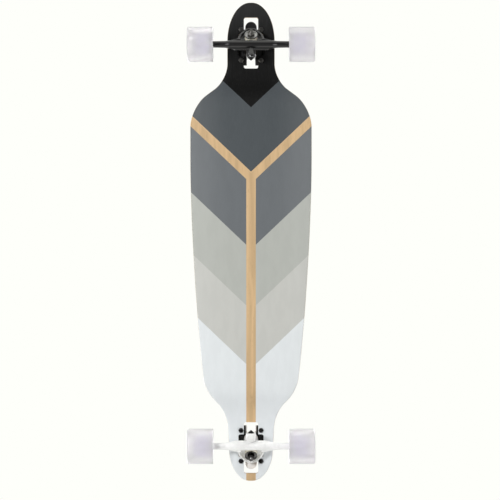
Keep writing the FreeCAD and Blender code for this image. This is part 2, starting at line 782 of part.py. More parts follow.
def washer_outline(start, sign):
    """Half section of a dished washer whose rim turns away from the bushing."""
    bore, wide = "kingpin_diameter / 2 + 0.1", "bushing_diameter / 2"
    points = ((bore, start), (wide, start), (wide, f"{start} + washer_thickness + washer_rim"),
              (f"{wide} - 1.4", f"{start} + washer_thickness + washer_rim"),
              (f"{wide} - 2.2", f"{start} + washer_thickness"), (bore, f"{start} + washer_thickness"))
    return [(x, signed(sign, y)) for x, y in points]


def flat_washer_outline(start):
    bore, wide = "kingpin_diameter / 2 + 0.1", "bushing_diameter / 2"
    return ((bore, start), (wide, start), (wide, f"{start} + washer_thickness"), (bore, f"{start} + washer_thickness"))


def build_kingpin_stack(truck, direction):
    rings = (
        ("boardside_bushing", bushing_outline("seat", "boardside_bushing_height", 1, "bushing_diameter / 2")),
        ("roadside_bushing", bushing_outline("seat", "roadside_bushing_height", -1, "bushing_small_diameter / 2")),
        ("boardside_washer", flat_washer_outline("boardside_top")),
        ("roadside_washer", washer_outline("roadside_top", -1)),
    )
    for name, outline in rings:
        body = ring_body(f"{truck}_{name}", kingpin_sketch, "V_Axis", [outline], truck, direction)
        finish(body, body.Label)
    nut_start = "roadside_top + washer_thickness"
    nut = new_body(truck + "_kingpin_nut")
    face = seat_sketch(nut, f"-({nut_start})")
    hexagon(face, ("0", "0"), "kingpin_flats")
    circle(face, ("0", "0"), "kingpin_diameter / 2")
    extrude(nut, face, "kingpin_nut_height", reverse=True)
    pin = new_body(truck + "_kingpin")
    shank = kingpin_sketch(pin)
    tail = f"-({nut_start} + kingpin_nut_height + kingpin_tail)"
    polygon(shank, (("0", tail), ("kingpin_diameter / 2 - 1", tail), ("kingpin_diameter / 2", f"{tail} + 1"),
                    ("kingpin_diameter / 2", "kingpin_seat"), ("0", "kingpin_seat")))
    revolve(pin, shank, "V_Axis")
    head = seat_sketch(pin, "kingpin_seat")
    hexagon(head, ("0", "0"), "kingpin_flats")
    extrude(pin, head, "kingpin_head")
    for body in (nut, pin):
        place_in_truck(body, truck, direction)
        finish(body, body.Label)


# Hanger and axle

def arch_line(along):
    """Height of the arch rim below the ring plane, rising toward the apex."""
    return f"-(arch_height + 0.106 * ({along}))"


def build_hanger(truck):
    body = new_body(truck + "_hanger")
    # the arch round the bushings, cut down to its sloping rim, with the well for the roadside bushing
    arch = seat_sketch(body, "seat")
    outer = (("-arch_foot", "arch_foot_width / 2"), ("arch_shoulder", "arch_shoulder_width / 2"),
             ("arch_apex", "arch_apex_width / 2"))
    polygon(arch, mirrored(outer))
    extrude(body, arch, "seat + arch_height + 0.2 * arch_apex", reverse=True)
    ring = Vector(*(value(place) for place in (tilted("0", "0")[0], "0", tilted("0", "0")[1])))
    steering = Vector(value("cos(steer_angle)"), 0, value("sin(steer_angle)"))

    def arch_corner(part):
        """Chooser of the edges at one pair of the arch's corners."""
        place, width = value("arch_" + part), value(f"arch_{part}_width") / 2

        def chosen(edge):
            ends = [vertex.Point for vertex in edge.Vertexes]
            places = [((end - ring).dot(steering), abs(end.y)) for end in ends]
            return all(abs(along - place) < 0.01 and abs(side - width) < 0.01
                       for along, side in places) and abs(ends[0].y - ends[-1].y) < 0.01
        return chosen
    for part in ("shoulder", "apex"):
        round_edges(body, f"arch_{part}_radius", arch_corner(part))
    rim = kingpin_sketch(body)
    polygon(rim, (("-2 * arch_foot", arch_line("-2 * arch_foot")), ("2 * arch_apex", arch_line("2 * arch_apex")),
                  ("2 * arch_apex", "-4 * arch_height"), ("-2 * arch_foot", "-4 * arch_height")))
    extrude(body, rim, "2 * arch_foot_width", kind="Pocket", middle=True)
    well = seat_sketch(body, "-seat")
    polygon(well, mirrored((("-bushing_diameter / 2 - 2.5", "arch_foot_width / 2 - 3 * arch_wall"),
                            ("arch_shoulder", "arch_shoulder_width / 2 - 1.2 * arch_wall"),
                            ("arch_apex - arch_wall", "arch_apex_width / 2 - 0.8 * arch_wall"))))
    extrude(body, well, "4 * arch_height", kind="Pocket")
    # the bar that holds the axle, with its belly on the pivot side
    bar = axle_sketch(body)
    arm, collar, thick = "hanger_arm_diameter / 2", "hanger_collar_diameter / 2", "hanger_bar_diameter / 2"
    step = "hanger_end - hanger_collar_length"
    half = (("hanger_end", "0"), ("hanger_end", collar), (step, collar), (f"{step} - 1", arm),
            ("hanger_bar_length / 2 + 8", f"{arm} + 0.5"), ("hanger_bar_length / 2", thick))
    polygon(bar, list(half) + [(f"-({x})", y) for x, y in reversed(half)])
    revolve(body, bar, "H_Axis")
    belly = level_sketch(body, "-axle_drop")
    polygon(belly, mirrored((
        ("-axle_setback", "hanger_bar_length / 2"),
        ("-axle_setback - hanger_bar_diameter / 2 + 1", "hanger_bar_length / 2"),
        ("-axle_setback - hanger_belly", "hanger_belly_width / 2"),
    )))
    extrude(body, belly, "hanger_bar_diameter / 4")
    # flares from the feet of the arch out along the bar
    flares = level_sketch(body, "-axle_drop")
    crest = "hanger_bar_diameter / 2 + flare_reach - axle_setback"
    for side in (1, -1):
        inner, outer = f"{side} * (flare_start - 2 * arch_wall)", f"{side} * (flare_start + flare_length)"
        polygon(flares, (("-axle_setback", inner), (crest, inner), (crest, f"{side} * flare_start"),
                         ("hanger_arm_diameter / 2 - axle_setback", outer), ("-axle_setback", outer)))
    extrude(body, flares, "hanger_bar_diameter / 4")
    # the pivot stem
    stem = kingpin_sketch(body)
    polygon(stem, (("-bushing_diameter / 2 - 5", "0"), ("-bushing_diameter / 2 - 5", "stem_diameter / 2"),
                   ("-socket_front + cup_lip + 6", "stem_diameter / 2"),
                   ("-socket_front + cup_lip + 0.5", "pivot_diameter / 2"),
                   ("-socket_back - 1", "pivot_diameter / 2"), ("-socket_back - 1", "0")))
    revolve(body, stem, "H_Axis")
    # bores for the kingpin and the axle
    bore = seat_sketch(body, "2 * seat")
    circle(bore, ("0", "0"), "web_bore / 2")
    extrude(body, bore, "6 * seat", kind="Pocket")
    hole = axle_sketch(body)
    box_outline(hole, "-hanger_length", "hanger_length", "0", "axle_diameter / 2")
    revolve(body, hole, "H_Axis", "Groove")
    return body


def build_axle(truck, direction):
    hanger = build_hanger(truck)
    axle = new_body(truck + "_axle")
    rod = axle_sketch(axle)
    end = "bearing_end + speed_ring_thickness + axle_nut_height + axle_tail"
    half = ((end, "0"), (end, "axle_diameter / 2 - 1"), (f"{end} - 1", "axle_diameter / 2"))
    polygon(rod, list(half) + [(f"-({x})", y) for x, y in reversed(half)])
    revolve(axle, rod, "H_Axis")
    nuts = new_body(truck + "_axle_nuts")
    for outer_face in ("bearing_end + speed_ring_thickness + axle_nut_height", "-(bearing_end + speed_ring_thickness)"):
        face = new_sketch(nuts, "XZ_Plane", ("-axle_setback", "-axle_drop", f"-({outer_face})"))
        hexagon(face, ("0", "0"), "axle_nut_flats")
        circle(face, ("0", "0"), "axle_diameter / 2")
        extrude(nuts, face, "axle_nut_height")
    for body in (hanger, axle, nuts):
        place_in_truck(body, truck, direction)
        finish(body, body.Label)
    groups = (
        ("speed_rings", "speed_ring_diameter", ("hanger_end", "bearing_end"), "speed_ring_thickness"),
        ("bearing_spacers", "spacer_diameter", ("bearing_start + bearing_width",), "bearing_gap"),
    )
    for name, diameter, starts, width in groups:
        outlines = []
        for _, sign in SIDES:
            for start in starts:
                low, high = signed(sign, start), signed(sign, f"{start} + {width}")
                outlines.append(((low, "axle_diameter / 2"), (high, "axle_diameter / 2"),
                                 (high, f"{diameter} / 2"), (low, f"{diameter} / 2")))
        body = ring_body(f"{truck}_{name}", axle_sketch, "H_Axis", outlines, truck, direction)
        finish(body, body.Label)
    bearing_rings(truck + "_bearing_inner_rings", [sign for _, sign in SIDES],
                  "axle_diameter / 2", "inner_ring_diameter / 2", truck, direction)


def bearing_rings(label, signs, plain, raced, truck, direction):
    body = new_body(label)
    sketch = axle_sketch(body)
    for sign in signs:
        for start in ("bearing_start", "second_start"):
            race_ring(sketch, sign, start, plain, raced)
    revolve(body, sketch, "H_Axis")
    place_in_truck(body, truck, direction)
    finish(body, label)


def bearing_middles():
    return [f"{start} + bearing_width / 2" for start in ("bearing_start", "second_start")]


# Wheels

def build_wheel(truck, direction, side, side_sign):
    name = f"{truck}_{side}"
    sign = direction * side_sign

    def across(points):
        return [(signed(sign, x), y) for x, y in points]

    core_low, core_high = "bearing_start - core_margin", "bearing_end + core_margin"
    tread, hub = "wheel_diameter / 2", "core_diameter / 2"
    tyre = ring_body(name + "_tyre", axle_sketch, "H_Axis", [across((
        (core_low, hub), ("wheel_start", "tyre_recess_diameter / 2"), ("wheel_start", tread),
        ("wheel_end", tread), ("wheel_end", "tyre_recess_diameter / 2"), (core_high, hub)))], truck, direction)
    round_edges(tyre, "tyre_lip", round_at(tread, signed(sign, "wheel_start")))
    round_edges(tyre, "tyre_edge", round_at(tread, signed(sign, "wheel_end")))
    finish(tyre, tyre.Label)

    seat, ridge = "bearing_diameter / 2", "bearing_diameter / 2 - core_ridge"
    first, second = "bearing_start + bearing_width", "second_start"
    core = ring_body(name + "_core", axle_sketch, "H_Axis", [across((
        (core_low, hub), (core_low, seat), (first, seat), (first, ridge), (second, ridge), (second, seat),
        (core_high, seat), (core_high, hub)))], truck, direction)
    finish(core, core.Label)

    shields, cages = [], []
    for start in ("bearing_start", "second_start"):
        low, high, middle = start, f"{start} + bearing_width", f"{start} + bearing_width / 2"
        for edge in (f"{low} + shield_inset", f"{high} - shield_inset - shield_thickness"):
            far = f"{edge} + shield_thickness"
            shields.append(across(((edge, "shield_bore / 2"), (far, "shield_bore / 2"),
                                   (far, "outer_ring_bore / 2"), (edge, "outer_ring_bore / 2"))))
        cage_low, cage_high = "ball_pitch / 2 - cage_thickness / 2", "ball_pitch / 2 + cage_thickness / 2"
        back, front = f"{middle} - cage_back", f"{middle} + cage_front"
        cages.append(across(((back, cage_low), (front, cage_low), (front, cage_high), (back, cage_high))))
    bearing_rings(name + "_bearing_outer_rings", [sign], seat, "outer_ring_bore / 2", truck, direction)
    shield_set = ring_body(name + "_bearing_shields", axle_sketch, "H_Axis", shields, truck, direction)
    finish(shield_set, shield_set.Label)
    build_cages(name, cages, sign, truck, direction)


def sphere_set(label, kind, sign, radius):
    """The balls of both bearings of a wheel, or the pockets that hold them."""
    spheres = []
    for middle in bearing_middles():
        for step in range(BALLS):
            sphere = doc.addObject("Part::Sphere", label + "_ball")
            bind(sphere, "Radius", radius)
            angle = 360 * step / BALLS
            # each sphere's own poles point along the radius, clear of the cage
            sphere.Placement = Placement(Vector(), Rotation(Vector(0, 1, 0), 90 - angle))
            bind(sphere, "Placement.Base.x", f"-axle_setback + ball_pitch / 2 * cos({angle})")
            bind(sphere, "Placement.Base.y", signed(sign, middle))
            bind(sphere, "Placement.Base.z", f"-axle_drop + ball_pitch / 2 * sin({angle})")
            spheres.append(sphere)
    group = doc.addObject("Part::" + kind, label)
    setattr(group, "Links" if kind == "Compound" else "Shapes", spheres)
    return group


def build_cages(name, outlines, sign, truck, direction):
    balls = sphere_set(name + "_bearing_balls", "Compound", sign, "ball_diameter / 2")
    place_in_truck(balls, truck, direction)
    finish(balls, name + "_bearing_balls")
    blank = new_body(name + "_cage_blank")
    sketch = axle_sketch(blank)
    for outline in outlines:
        polygon(sketch, outline)
    revolve(blank, sketch, "H_Axis")
    cages = doc.addObject("Part::Cut", name + "_bearing_cages")
    cages.Base = blank
    cages.Tool = sphere_set(name + "_pockets", "MultiFuse", sign, "ball_diameter / 2 + 2 * ball_clearance")
    place_in_truck(cages, truck, direction)
    finish(cages, name + "_bearing_cages")


def build_all():
    build_deck()
    for truck, direction in TRUCKS:
        build_mounting(truck, direction)
        build_pad(truck, direction)
        build_baseplate(truck, direction)
        build_pivot_cup(truck, direction)
        build_kingpin_stack(truck, direction)
        build_axle(truck, direction)
        for side, side_sign in SIDES:
            build_wheel(truck, direction, side, side_sign)
    doc.recompute()


def check_and_write():
    for thing in doc.Objects:
        if "Invalid" in thing.State or "Error" in thing.State:
            raise RuntimeError(f"{thing.Label} did not compute: {thing.State}")
    os.makedirs("parts", exist_ok=True)
    for thing in NODES:
        shape = thing.Shape
        if shape.isNull() or not shape.isValid() or not shape.Solids:
            raise RuntimeError(f"{thing.Label} has no sound shape")
        shape.exportStep(f"parts/{thing.Label}.step")


build_all()
check_and_write()
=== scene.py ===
import json
import math

import bmesh
import bpy
from bpy.props import FloatProperty, FloatVectorProperty, IntProperty, PointerProperty
from bpy.types import Operator, Panel, PropertyGroup
from mathutils import Matrix, Vector
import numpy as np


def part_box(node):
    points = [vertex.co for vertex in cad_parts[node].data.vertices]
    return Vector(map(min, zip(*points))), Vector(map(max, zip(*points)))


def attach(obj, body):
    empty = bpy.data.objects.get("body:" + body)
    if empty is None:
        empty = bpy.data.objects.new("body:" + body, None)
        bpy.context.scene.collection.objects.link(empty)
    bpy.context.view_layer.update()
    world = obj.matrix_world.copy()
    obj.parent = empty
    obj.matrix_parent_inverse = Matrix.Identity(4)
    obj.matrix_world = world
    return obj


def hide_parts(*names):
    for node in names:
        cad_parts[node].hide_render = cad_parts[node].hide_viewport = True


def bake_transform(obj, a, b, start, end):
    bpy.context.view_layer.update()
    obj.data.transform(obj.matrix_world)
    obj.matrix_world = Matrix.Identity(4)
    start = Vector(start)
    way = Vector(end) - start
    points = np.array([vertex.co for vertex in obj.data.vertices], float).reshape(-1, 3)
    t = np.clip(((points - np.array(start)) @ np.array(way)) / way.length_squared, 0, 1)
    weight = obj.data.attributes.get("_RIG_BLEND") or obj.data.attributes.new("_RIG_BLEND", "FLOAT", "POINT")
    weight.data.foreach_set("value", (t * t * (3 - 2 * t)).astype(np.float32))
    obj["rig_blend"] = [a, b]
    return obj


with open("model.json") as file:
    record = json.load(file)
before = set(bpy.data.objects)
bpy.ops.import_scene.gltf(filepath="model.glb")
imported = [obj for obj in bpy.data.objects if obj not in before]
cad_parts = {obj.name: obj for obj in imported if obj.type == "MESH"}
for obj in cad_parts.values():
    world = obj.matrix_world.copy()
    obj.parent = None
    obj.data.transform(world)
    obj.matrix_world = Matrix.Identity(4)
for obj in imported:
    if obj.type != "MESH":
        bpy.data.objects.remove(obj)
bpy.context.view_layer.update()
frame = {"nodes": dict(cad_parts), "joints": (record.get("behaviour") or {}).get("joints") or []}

bl_info = {
    "name": "Longboard Skateboard",
    "version": (1, 0, 0),
    "blender": (4, 5, 0),
    "location": "View3D > Sidebar > Longboard",
    "description": "Dresses the drop-through longboard with its wood, paint, urethane and metal",
    "category": "Object",
}

NODES = frame["nodes"]
DECK_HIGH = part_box("deck")[1]
TRUCKS = {"front": 1, "rear": -1}
SIDES = {"left": 1, "right": -1}
DOWN = Vector((0, 0, -1))
# points closer than this are one point
SAME_PLACE = 1e-6


def middle(node):
    """Centre of a node's box."""
    low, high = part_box(node)
    return (low + high) / 2


def screen(red, green, blue):
    """A colour given in screen values, as the linear light that materials use."""
    shares = [part / 255 for part in (red, green, blue)]
    return tuple(s / 12.92 if s < 0.04045 else ((s + 0.055) / 1.055) ** 2.4 for s in shares)


def length(name, description, default):
    """A size in metres."""
    return FloatProperty(name=name, description=description, default=default,
                         subtype="DISTANCE", unit="LENGTH")


def angle(name, description, degrees):
    """An angle, given in degrees."""
    return FloatProperty(name=name, description=description, default=math.radians(degrees),
                         subtype="ANGLE", unit="ROTATION")


def colour(name, description, *default):
    """A colour, given in screen values."""
    return FloatVectorProperty(name=name, description=description, default=screen(*default),
                               subtype="COLOR", size=3, min=0, max=1)


class LongboardSizes(PropertyGroup):
    """Sizes that shape the dressed board; the painted bands are measured on the midline."""

    deck_thickness: length("Deck thickness", "Thickness of the laminated wood", 0.0115)
    edge_radius: length("Edge radius", "Rounding along the rim of the deck", 0.0032)
    nose_round: length("Nose round", "Length of the half ellipse at the nose", 0.080)
    nose_width: length("Nose width", "Width where the nose ellipse starts", 0.098)
    tail_round: length("Tail round", "Length of the half ellipse at the tail", 0.0665)
    tail_width: length("Tail width", "Width where the tail ellipse starts", 0.091)
    front_shoulder: length("Front shoulder", "From the front truck to the shoulder's middle", 0.0925)
    front_shoulder_width: length("Front shoulder width", "Width at the middle of the front shoulder", 0.153)
    front_shoulder_angle: angle("Front shoulder angle", "Slope of the front shoulder", 53)
    front_neck_radius: length("Front neck radius", "Rounding into the nose neck", 0.065)
    front_hip_radius: length("Front hip radius", "Rounding of the front hip", 0.081)
    side_turn: length("Side turn", "From the front truck to the widest place", 0.458)
    side_taper: angle("Side taper", "How far the rear half narrows", 6.74)
    side_bend_share: FloatProperty(name="Side bend share", description="Share of the rear run that is curved",
                                   default=0.966, min=0.1, max=0.99, subtype="FACTOR")
    rear_shoulder: length("Rear shoulder", "From the rear truck to the shoulder's middle", 0.094)
    rear_shoulder_width: length("Rear shoulder width", "Width at the middle of the rear shoulder", 0.150)
    rear_shoulder_angle: angle("Rear shoulder angle", "Slope of the rear shoulder", 43)
    rear_hip_radius: length("Rear hip radius", "Rounding of the rear hip", 0.072)
    rear_neck_radius: length("Rear neck radius", "Rounding into the tail neck", 0.073)
    tail_neck_taper: angle("Tail neck taper", "How far the tail neck opens", 3)
    bend_start: length("Bend start", "From a truck to where the deck starts to drop", 0.052)
    bend_length: length("Bend length", "Length of the drop", 0.075)
    platform_drop: length("Platform drop", "Drop of the platform's edges below the ends", 0.005)
    concave_depth: length("Concave depth", "How far the middle lies below the edges", 0.007)
    bolt_pitch_long: length("Bolt pitch, long", "Mounting hole spacing along the board", 0.0635)
    bolt_pitch_wide: length("Bolt pitch, wide", "Mounting hole spacing across the board", 0.0413)
    stripe_half_width: length("Stripe half width", "Half the width of the bare wood stripe", 0.0099)
    black_edge: length("Black edge", "Rear end of the nose band", 0.276)
    arm_front: length("Arm front", "Front end of the wood arms", 0.142)
    arm_back: length("Arm back", "Rear end of the wood arms", 0.120)
    mid_edge: length("Mid edge", "Rear end of the third band", -0.0167)
    light_edge: length("Light edge", "Rear end of the fourth band", -0.142)
    pale_edge: length("Pale edge", "Rear end of the fifth band", -0.264)
    chevron_slope: FloatProperty(name="Chevron slope", description="Run of a band's edge per width",
                                 default=0.95, min=0, max=2)
    plies: IntProperty(name="Plies", description="Number of veneers in the deck", default=9, min=3, max=15)


class LongboardColours(PropertyGroup):
    """Colours of the dressed board."""

    nose_black: colour("Nose black", "Band at the nose", 17, 17, 17)
    slate: colour("Slate", "Second band", 80, 85, 89)
    mid_grey: colour("Mid grey", "Third band", 109, 113, 117)
    light_grey: colour("Light grey", "Fourth band", 180, 182, 177)
    pale_grey: colour("Pale grey", "Fifth band", 197, 197, 193)
    tail_white: colour("Tail white", "Band at the tail", 226, 230, 233)
    maple: colour("Maple", "Bare wood", 212, 180, 139)
    urethane: colour("Urethane", "Wheels", 252, 248, 255)
    core: colour("Core", "Wheel cores", 210, 204, 232)
    black_paint: colour("Black paint", "Front truck", 24, 23, 24)
    white_paint: colour("White paint", "Rear truck", 250, 250, 250)
    bushing: colour("Bushing", "Bushings", 238, 233, 216)
    rubber: colour("Rubber", "Riser pads and pivot cups", 11, 10, 11)
    grit: colour("Grit", "Grip tape", 34, 34, 35)


# Small helpers for node trees


class Tree:
    """Short ways to add nodes to a node tree."""

    def __init__(self, tree):
        self.tree = tree

    def node(self, kind, **settings):
        made = self.tree.nodes.new("ShaderNode" + kind)
        for setting, choice in settings.items():
            setattr(made, setting, choice)
        return made

    def feed(self, socket, source):
        """Joins a source to a socket, or sets the socket where the source is a plain number or colour."""
        if isinstance(source, bpy.types.NodeSocket):
            self.tree.links.new(source, socket)
        elif socket.type == "RGBA":
            socket.default_value = (*source, 1)
        else:
            socket.default_value = source

    def parts(self, vector):
        split = self.node("SeparateXYZ")
        self.feed(split.inputs[0], vector)
        return split.outputs

    def math(self, operation, *values):
        made = self.node("Math", operation=operation)
        for socket, source in zip(made.inputs, values):
            self.feed(socket, source)
        return made.outputs[0]

    def scaled(self, source, factor, base=0.0):
        """A source times a factor, on top of a base."""
        return self.math("MULTIPLY_ADD", source, factor, base)

    def between(self, source, low, high, first=0.0, last=1.0):
        """Smooth step from first to last as the source goes from low to high."""
        made = self.node("MapRange", interpolation_type="SMOOTHSTEP")
        for socket, value in zip(made.inputs, (source, low, high, first, last)):
            self.feed(socket, value)
        return made.outputs[0]


class Finish(Tree):
    """One material, with the patterns that its surface is made of."""

    def __init__(self, name, **constants):
        self.material = bpy.data.materials.new(name)
        self.material.use_nodes = True
        super().__init__(self.material.node_tree)
        self.shader = self.tree.nodes["Principled BSDF"]
        self.set(**constants)

    def set(self, **sources):
        for socket, source in sources.items():
            self.feed(self.shader.inputs[socket.replace("_", " ")], source)

    def place(self, scale=(1, 1, 1)):
        """Object coordinates, scaled."""
        mapping = self.node("Mapping", vector_type="TEXTURE")
        self.feed(mapping.inputs["Vector"], self.node("TexCoord").outputs["Object"])
        mapping.inputs["Scale"].default_value = [1 / part for part in scale]
        return mapping.outputs["Vector"]

    def pattern(self, kind, vector, settings):
        made = self.node(kind)
        self.feed(made.inputs["Vector"], vector)
        for name, value in settings.items():
            made.inputs[name.capitalize()].default_value = value
        return made.outputs[0]

    def noise(self, vector, **settings):
        return self.pattern("TexNoise", vector, settings)

    def cells(self, vector, **settings):
        return self.pattern("TexVoronoi", vector, settings)

    def mix(self, share, first, second):
        made = self.node("Mix", data_type="RGBA")
        # sockets 6 and 7 are the two colours, and 2 the mixed one
        for index, source in ((0, share), (6, first), (7, second)):
            self.feed(made.inputs[index], source)
        return made.outputs[2]

    def mottled(self, pattern, shade, dark, light):
        """A colour that goes from darker to lighter with a pattern."""
        return self.mix(self.between(pattern, 0.3, 0.7), tint(shade, dark), tint(shade, light))

    def wear_and_highlight(self, low, high):
        """Share of worn paint, which also serves as a painted highlight: high on outer edges and broken up by
        grime.
        """
        edge = self.between(self.node("NewGeometry").outputs["Pointiness"], low, high)
        grime = self.noise(self.place(), scale=420, detail=4, roughness=0.6)
        return self.math("MULTIPLY", edge, self.between(grime, 0.40, 0.60, 0.45, 1.0))

    def surface(self, colour, roughness, height, strength, distance):
        """Gives the shader its colour, roughness and bump, and hands over the material."""
        bump = self.node("Bump")
        for name, source in (("Strength", strength), ("Distance", distance), ("Height", height)):
            self.feed(bump.inputs[name], source)
        self.set(Base_Color=colour, Roughness=roughness, Normal=bump.outputs[0])
        return self.material


def tint(shade, factor):
    """A colour made lighter or darker."""
    return tuple(min(1.0, part * factor) for part in shade)


# Materials


def wood_grain(finish, shade):
    """Maple veneer: long fibres, soft growth streaks and small dark flecks; gives colour and height."""
    long_way = finish.place(scale=(0.06, 1, 1))
    streaks = finish.noise(long_way, scale=75, detail=4, roughness=0.55, distortion=0.6)
    fibres = finish.noise(long_way, scale=900, roughness=0.6)
    flecks = finish.noise(finish.place(scale=(0.12, 1, 1)), scale=520, detail=1)
    colour = finish.mottled(streaks, shade, 0.84, 1.1)
    colour = finish.mix(finish.scaled(fibres, 0.25), colour, tint(shade, 0.72))
    colour = finish.mix(finish.scaled(finish.between(flecks, 0.66, 0.74), 0.35), colour, tint(shade, 0.5))
    return colour, fibres


def painted_bands(finish, sizes, colours, chevron):
    """Colours of the bands, each forward of its rear end; the tail's white lies behind them all."""
    ends = (
        (sizes.pale_edge, colours.pale_grey),
        (sizes.light_edge, colours.light_grey),
        (sizes.mid_edge, colours.mid_grey),
        (sizes.arm_back, colours.maple),
        (sizes.arm_front, colours.slate),
        (sizes.black_edge, colours.nose_black),
    )
    ramp = finish.node("ValToRGB")
    ramp.color_ramp.interpolation = "CONSTANT"
    stops = ramp.color_ramp.elements
    stops[0].color = (*colours.tail_white, 1)
    stops.remove(stops[1])
    # the ramp runs from 0 to 1, with the middle of the board at one half
    half = 0.5
    for end, shade in ends:
        stops.new(end + half).color = (*shade, 1)
    finish.feed(ramp.inputs[0], finish.math("ADD", chevron, half))
    return ramp.outputs[0]


def rim_veneers(finish, sizes, colours, wood, ply):
    """Veneers on the rim: every other one darker, with thin lines of glue between them."""
    layer = finish.math("MULTIPLY", ply, sizes.plies)
    odd = finish.math("MODULO", finish.math("FLOOR", layer), 2)
    veneer = finish.mix(finish.scaled(odd, 0.55, 0.1), wood, tint(colours.maple, 0.42))
    from_middle = finish.math("ABSOLUTE", finish.math("SUBTRACT", finish.math("FRACT", layer), 0.5))
    glue = finish.between(from_middle, 0.40, 0.49)
    return finish.mix(finish.scaled(glue, 0.45), veneer, tint(colours.maple, 0.2))


def deck_finish(sizes, colours):
    """Underside bands and wood stripe, veneers along the rim, bare maple on top."""
    finish = Finish("deck_finish", IOR=1.45, Specular_IOR_Level=0.12)
    wood, fibres = wood_grain(finish, colours.maple)
    along, across, _ = finish.parts(finish.place())
    offside = finish.math("ABSOLUTE", across)
    # the edges of the paint wander a little
    wander = 0.0003
    wobble = finish.scaled(finish.noise(finish.place(), scale=700), wander, -wander / 2)
    chevron = finish.scaled(offside, -sizes.chevron_slope, finish.math("ADD", along, wobble))

    # ink lies a little thicker and thinner, and the fibres show faintly through it
    patchy = finish.noise(finish.place(scale=(0.35, 1, 1)), scale=60, detail=4, roughness=0.6)
    ink = painted_bands(finish, sizes, colours, chevron)
    ink = finish.mix(finish.between(patchy, 0.35, 0.65, 0.0, 0.035), ink, (0, 0, 0))
    ink = finish.mix(finish.between(fibres, 0.45, 0.75, 0.0, 0.012), ink, (0.6, 0.6, 0.6))
    # painted light: the paint is made a little paler towards the edges and at the two ends, standing in for
    # the light they catch
    ends = finish.between(finish.math("ABSOLUTE", along), 0.40, 0.50, 0.0, 0.02)
    edges = finish.between(offside, 0.04, 0.125, 0.0, 0.035)
    ink = finish.mix(finish.math("ADD", ends, edges), ink, (1, 1, 1))

    # the stripe runs just into the arms, so that no paint shows between them
    overlap = 0.001
    stripe = finish.math("LESS_THAN", finish.math("ADD", offside, wobble), sizes.stripe_half_width)
    behind = finish.math("LESS_THAN", chevron, sizes.arm_back + overlap)
    arms = finish.math("MULTIPLY", finish.math("GREATER_THAN", chevron, sizes.arm_back),
                       finish.math("LESS_THAN", chevron, sizes.arm_front))
    bare = finish.math("MAXIMUM", finish.math("MULTIPLY", stripe, behind), arms)
    bottom = finish.mix(bare, ink, wood)

    # the paint ends in a ragged line a little way up the rim
    ply = finish.node("Attribute", attribute_name="ply").outputs["Fac"]
    rim = rim_veneers(finish, sizes, colours, wood, ply)
    ragged = finish.scaled(finish.noise(finish.place(), scale=260, detail=3), 0.05, ply)
    paint_end, bare_start, top_veneer = 0.205, 0.235, 0.93
    painted = finish.between(ragged, bare_start, paint_end)
    top = finish.math("GREATER_THAN", ply, top_veneer)
    colour = finish.mix(painted, finish.mix(top, rim, wood), bottom)
    inked = finish.math("MULTIPLY", painted, finish.math("SUBTRACT", 1.0, bare))
    rough = finish.scaled(patchy, 0.16, finish.scaled(inked, 0.06, 0.36))
    height = finish.scaled(fibres, 0.5, finish.scaled(inked, 0.6))
    return finish.surface(colour, rough, height, strength=0.18, distance=0.00008)


def grip_finish(colours):
    """Coarse black grit with a few bright grains and scuffed patches."""
    finish = Finish("grip_finish")
    at = finish.place()
    grains = finish.cells(at, scale=1500)
    glint = finish.between(finish.noise(at, scale=2600, detail=1), 0.70, 0.78)
    scuff = finish.noise(finish.place(scale=(0.6, 1, 1)), scale=14, detail=5, roughness=0.65)
    scuff = finish.between(scuff, 0.48, 0.72)
    colour = finish.mix(grains, tint(colours.grit, 1.5), tint(colours.grit, 0.35))
    colour = finish.mix(finish.scaled(scuff, 0.35), colour, tint(colours.grit, 2.6))
    colour = finish.mix(finish.scaled(glint, 0.6), colour, (0.45, 0.45, 0.46))
    rough = finish.scaled(glint, -0.45, 0.92)
    return finish.surface(colour, rough, grains, strength=0.8, distance=0.0005)


def cast_paint(name, shade, bare, shine):
    """Sprayed paint on a casting: fine orange peel, cloudy tone, metal showing on knocked edges, which also
    paints highlights along rounded edges.
    """
    finish = Finish(name, Coat_Weight=shine, Coat_Roughness=0.08, IOR=1.45, Specular_IOR_Level=0.4)
    at = finish.place()
    peel = finish.noise(at, scale=900)
    cloud = finish.noise(at, scale=55, detail=4, roughness=0.6)
    # painted highlight: outer edges take the lighter edge colour, standing in for light caught on rounded
    # edges as well as for wear
    worn = finish.wear_and_highlight(low=0.508, high=0.545)
    colour = finish.mottled(cloud, shade, 0.88, 1.08)
    colour = finish.mix(finish.scaled(worn, 0.6), colour, bare)
    rough = finish.scaled(cloud, 0.18, finish.scaled(worn, 0.15, 0.22))
    finish.set(Metallic=finish.scaled(worn, 0.5))
    return finish.surface(colour, rough, peel, strength=0.12, distance=0.0002)


def metal(name, shade, roughness):
    """Turned or plated metal: fine tool marks, cloudy plating and a few dull spots."""
    finish = Finish(name, Metallic=1.0)
    at = finish.place()
    marks = finish.noise(at, scale=2200)
    cloud = finish.noise(at, scale=130, detail=4, roughness=0.6)
    spots = finish.between(finish.noise(at, scale=600, detail=3), 0.62, 0.72)
    colour = finish.mottled(cloud, shade, 0.82, 1.1)
    colour = finish.mix(finish.scaled(spots, 0.35), colour, tint(shade, 0.45))
    rough = finish.scaled(cloud, 0.2, finish.scaled(spots, 0.15, roughness - 0.1))
    return finish.surface(colour, rough, marks, strength=0.15, distance=0.0001)


def rubber_finish(colours):
    """Moulded rubber with a fine pebble and pale dust."""
    finish = Finish("rubber_finish", IOR=1.5, Specular_IOR_Level=0.3)
    at = finish.place()
    pebble = finish.cells(at, scale=1400)
    dust = finish.between(finish.noise(at, scale=90, detail=5, roughness=0.65), 0.5, 0.75)
    colour = finish.mix(finish.scaled(dust, 0.07), colours.rubber, (0.16, 0.155, 0.15))
    rough = finish.scaled(dust, 0.2, 0.55)
    return finish.surface(colour, rough, pebble, strength=0.25, distance=0.0002)


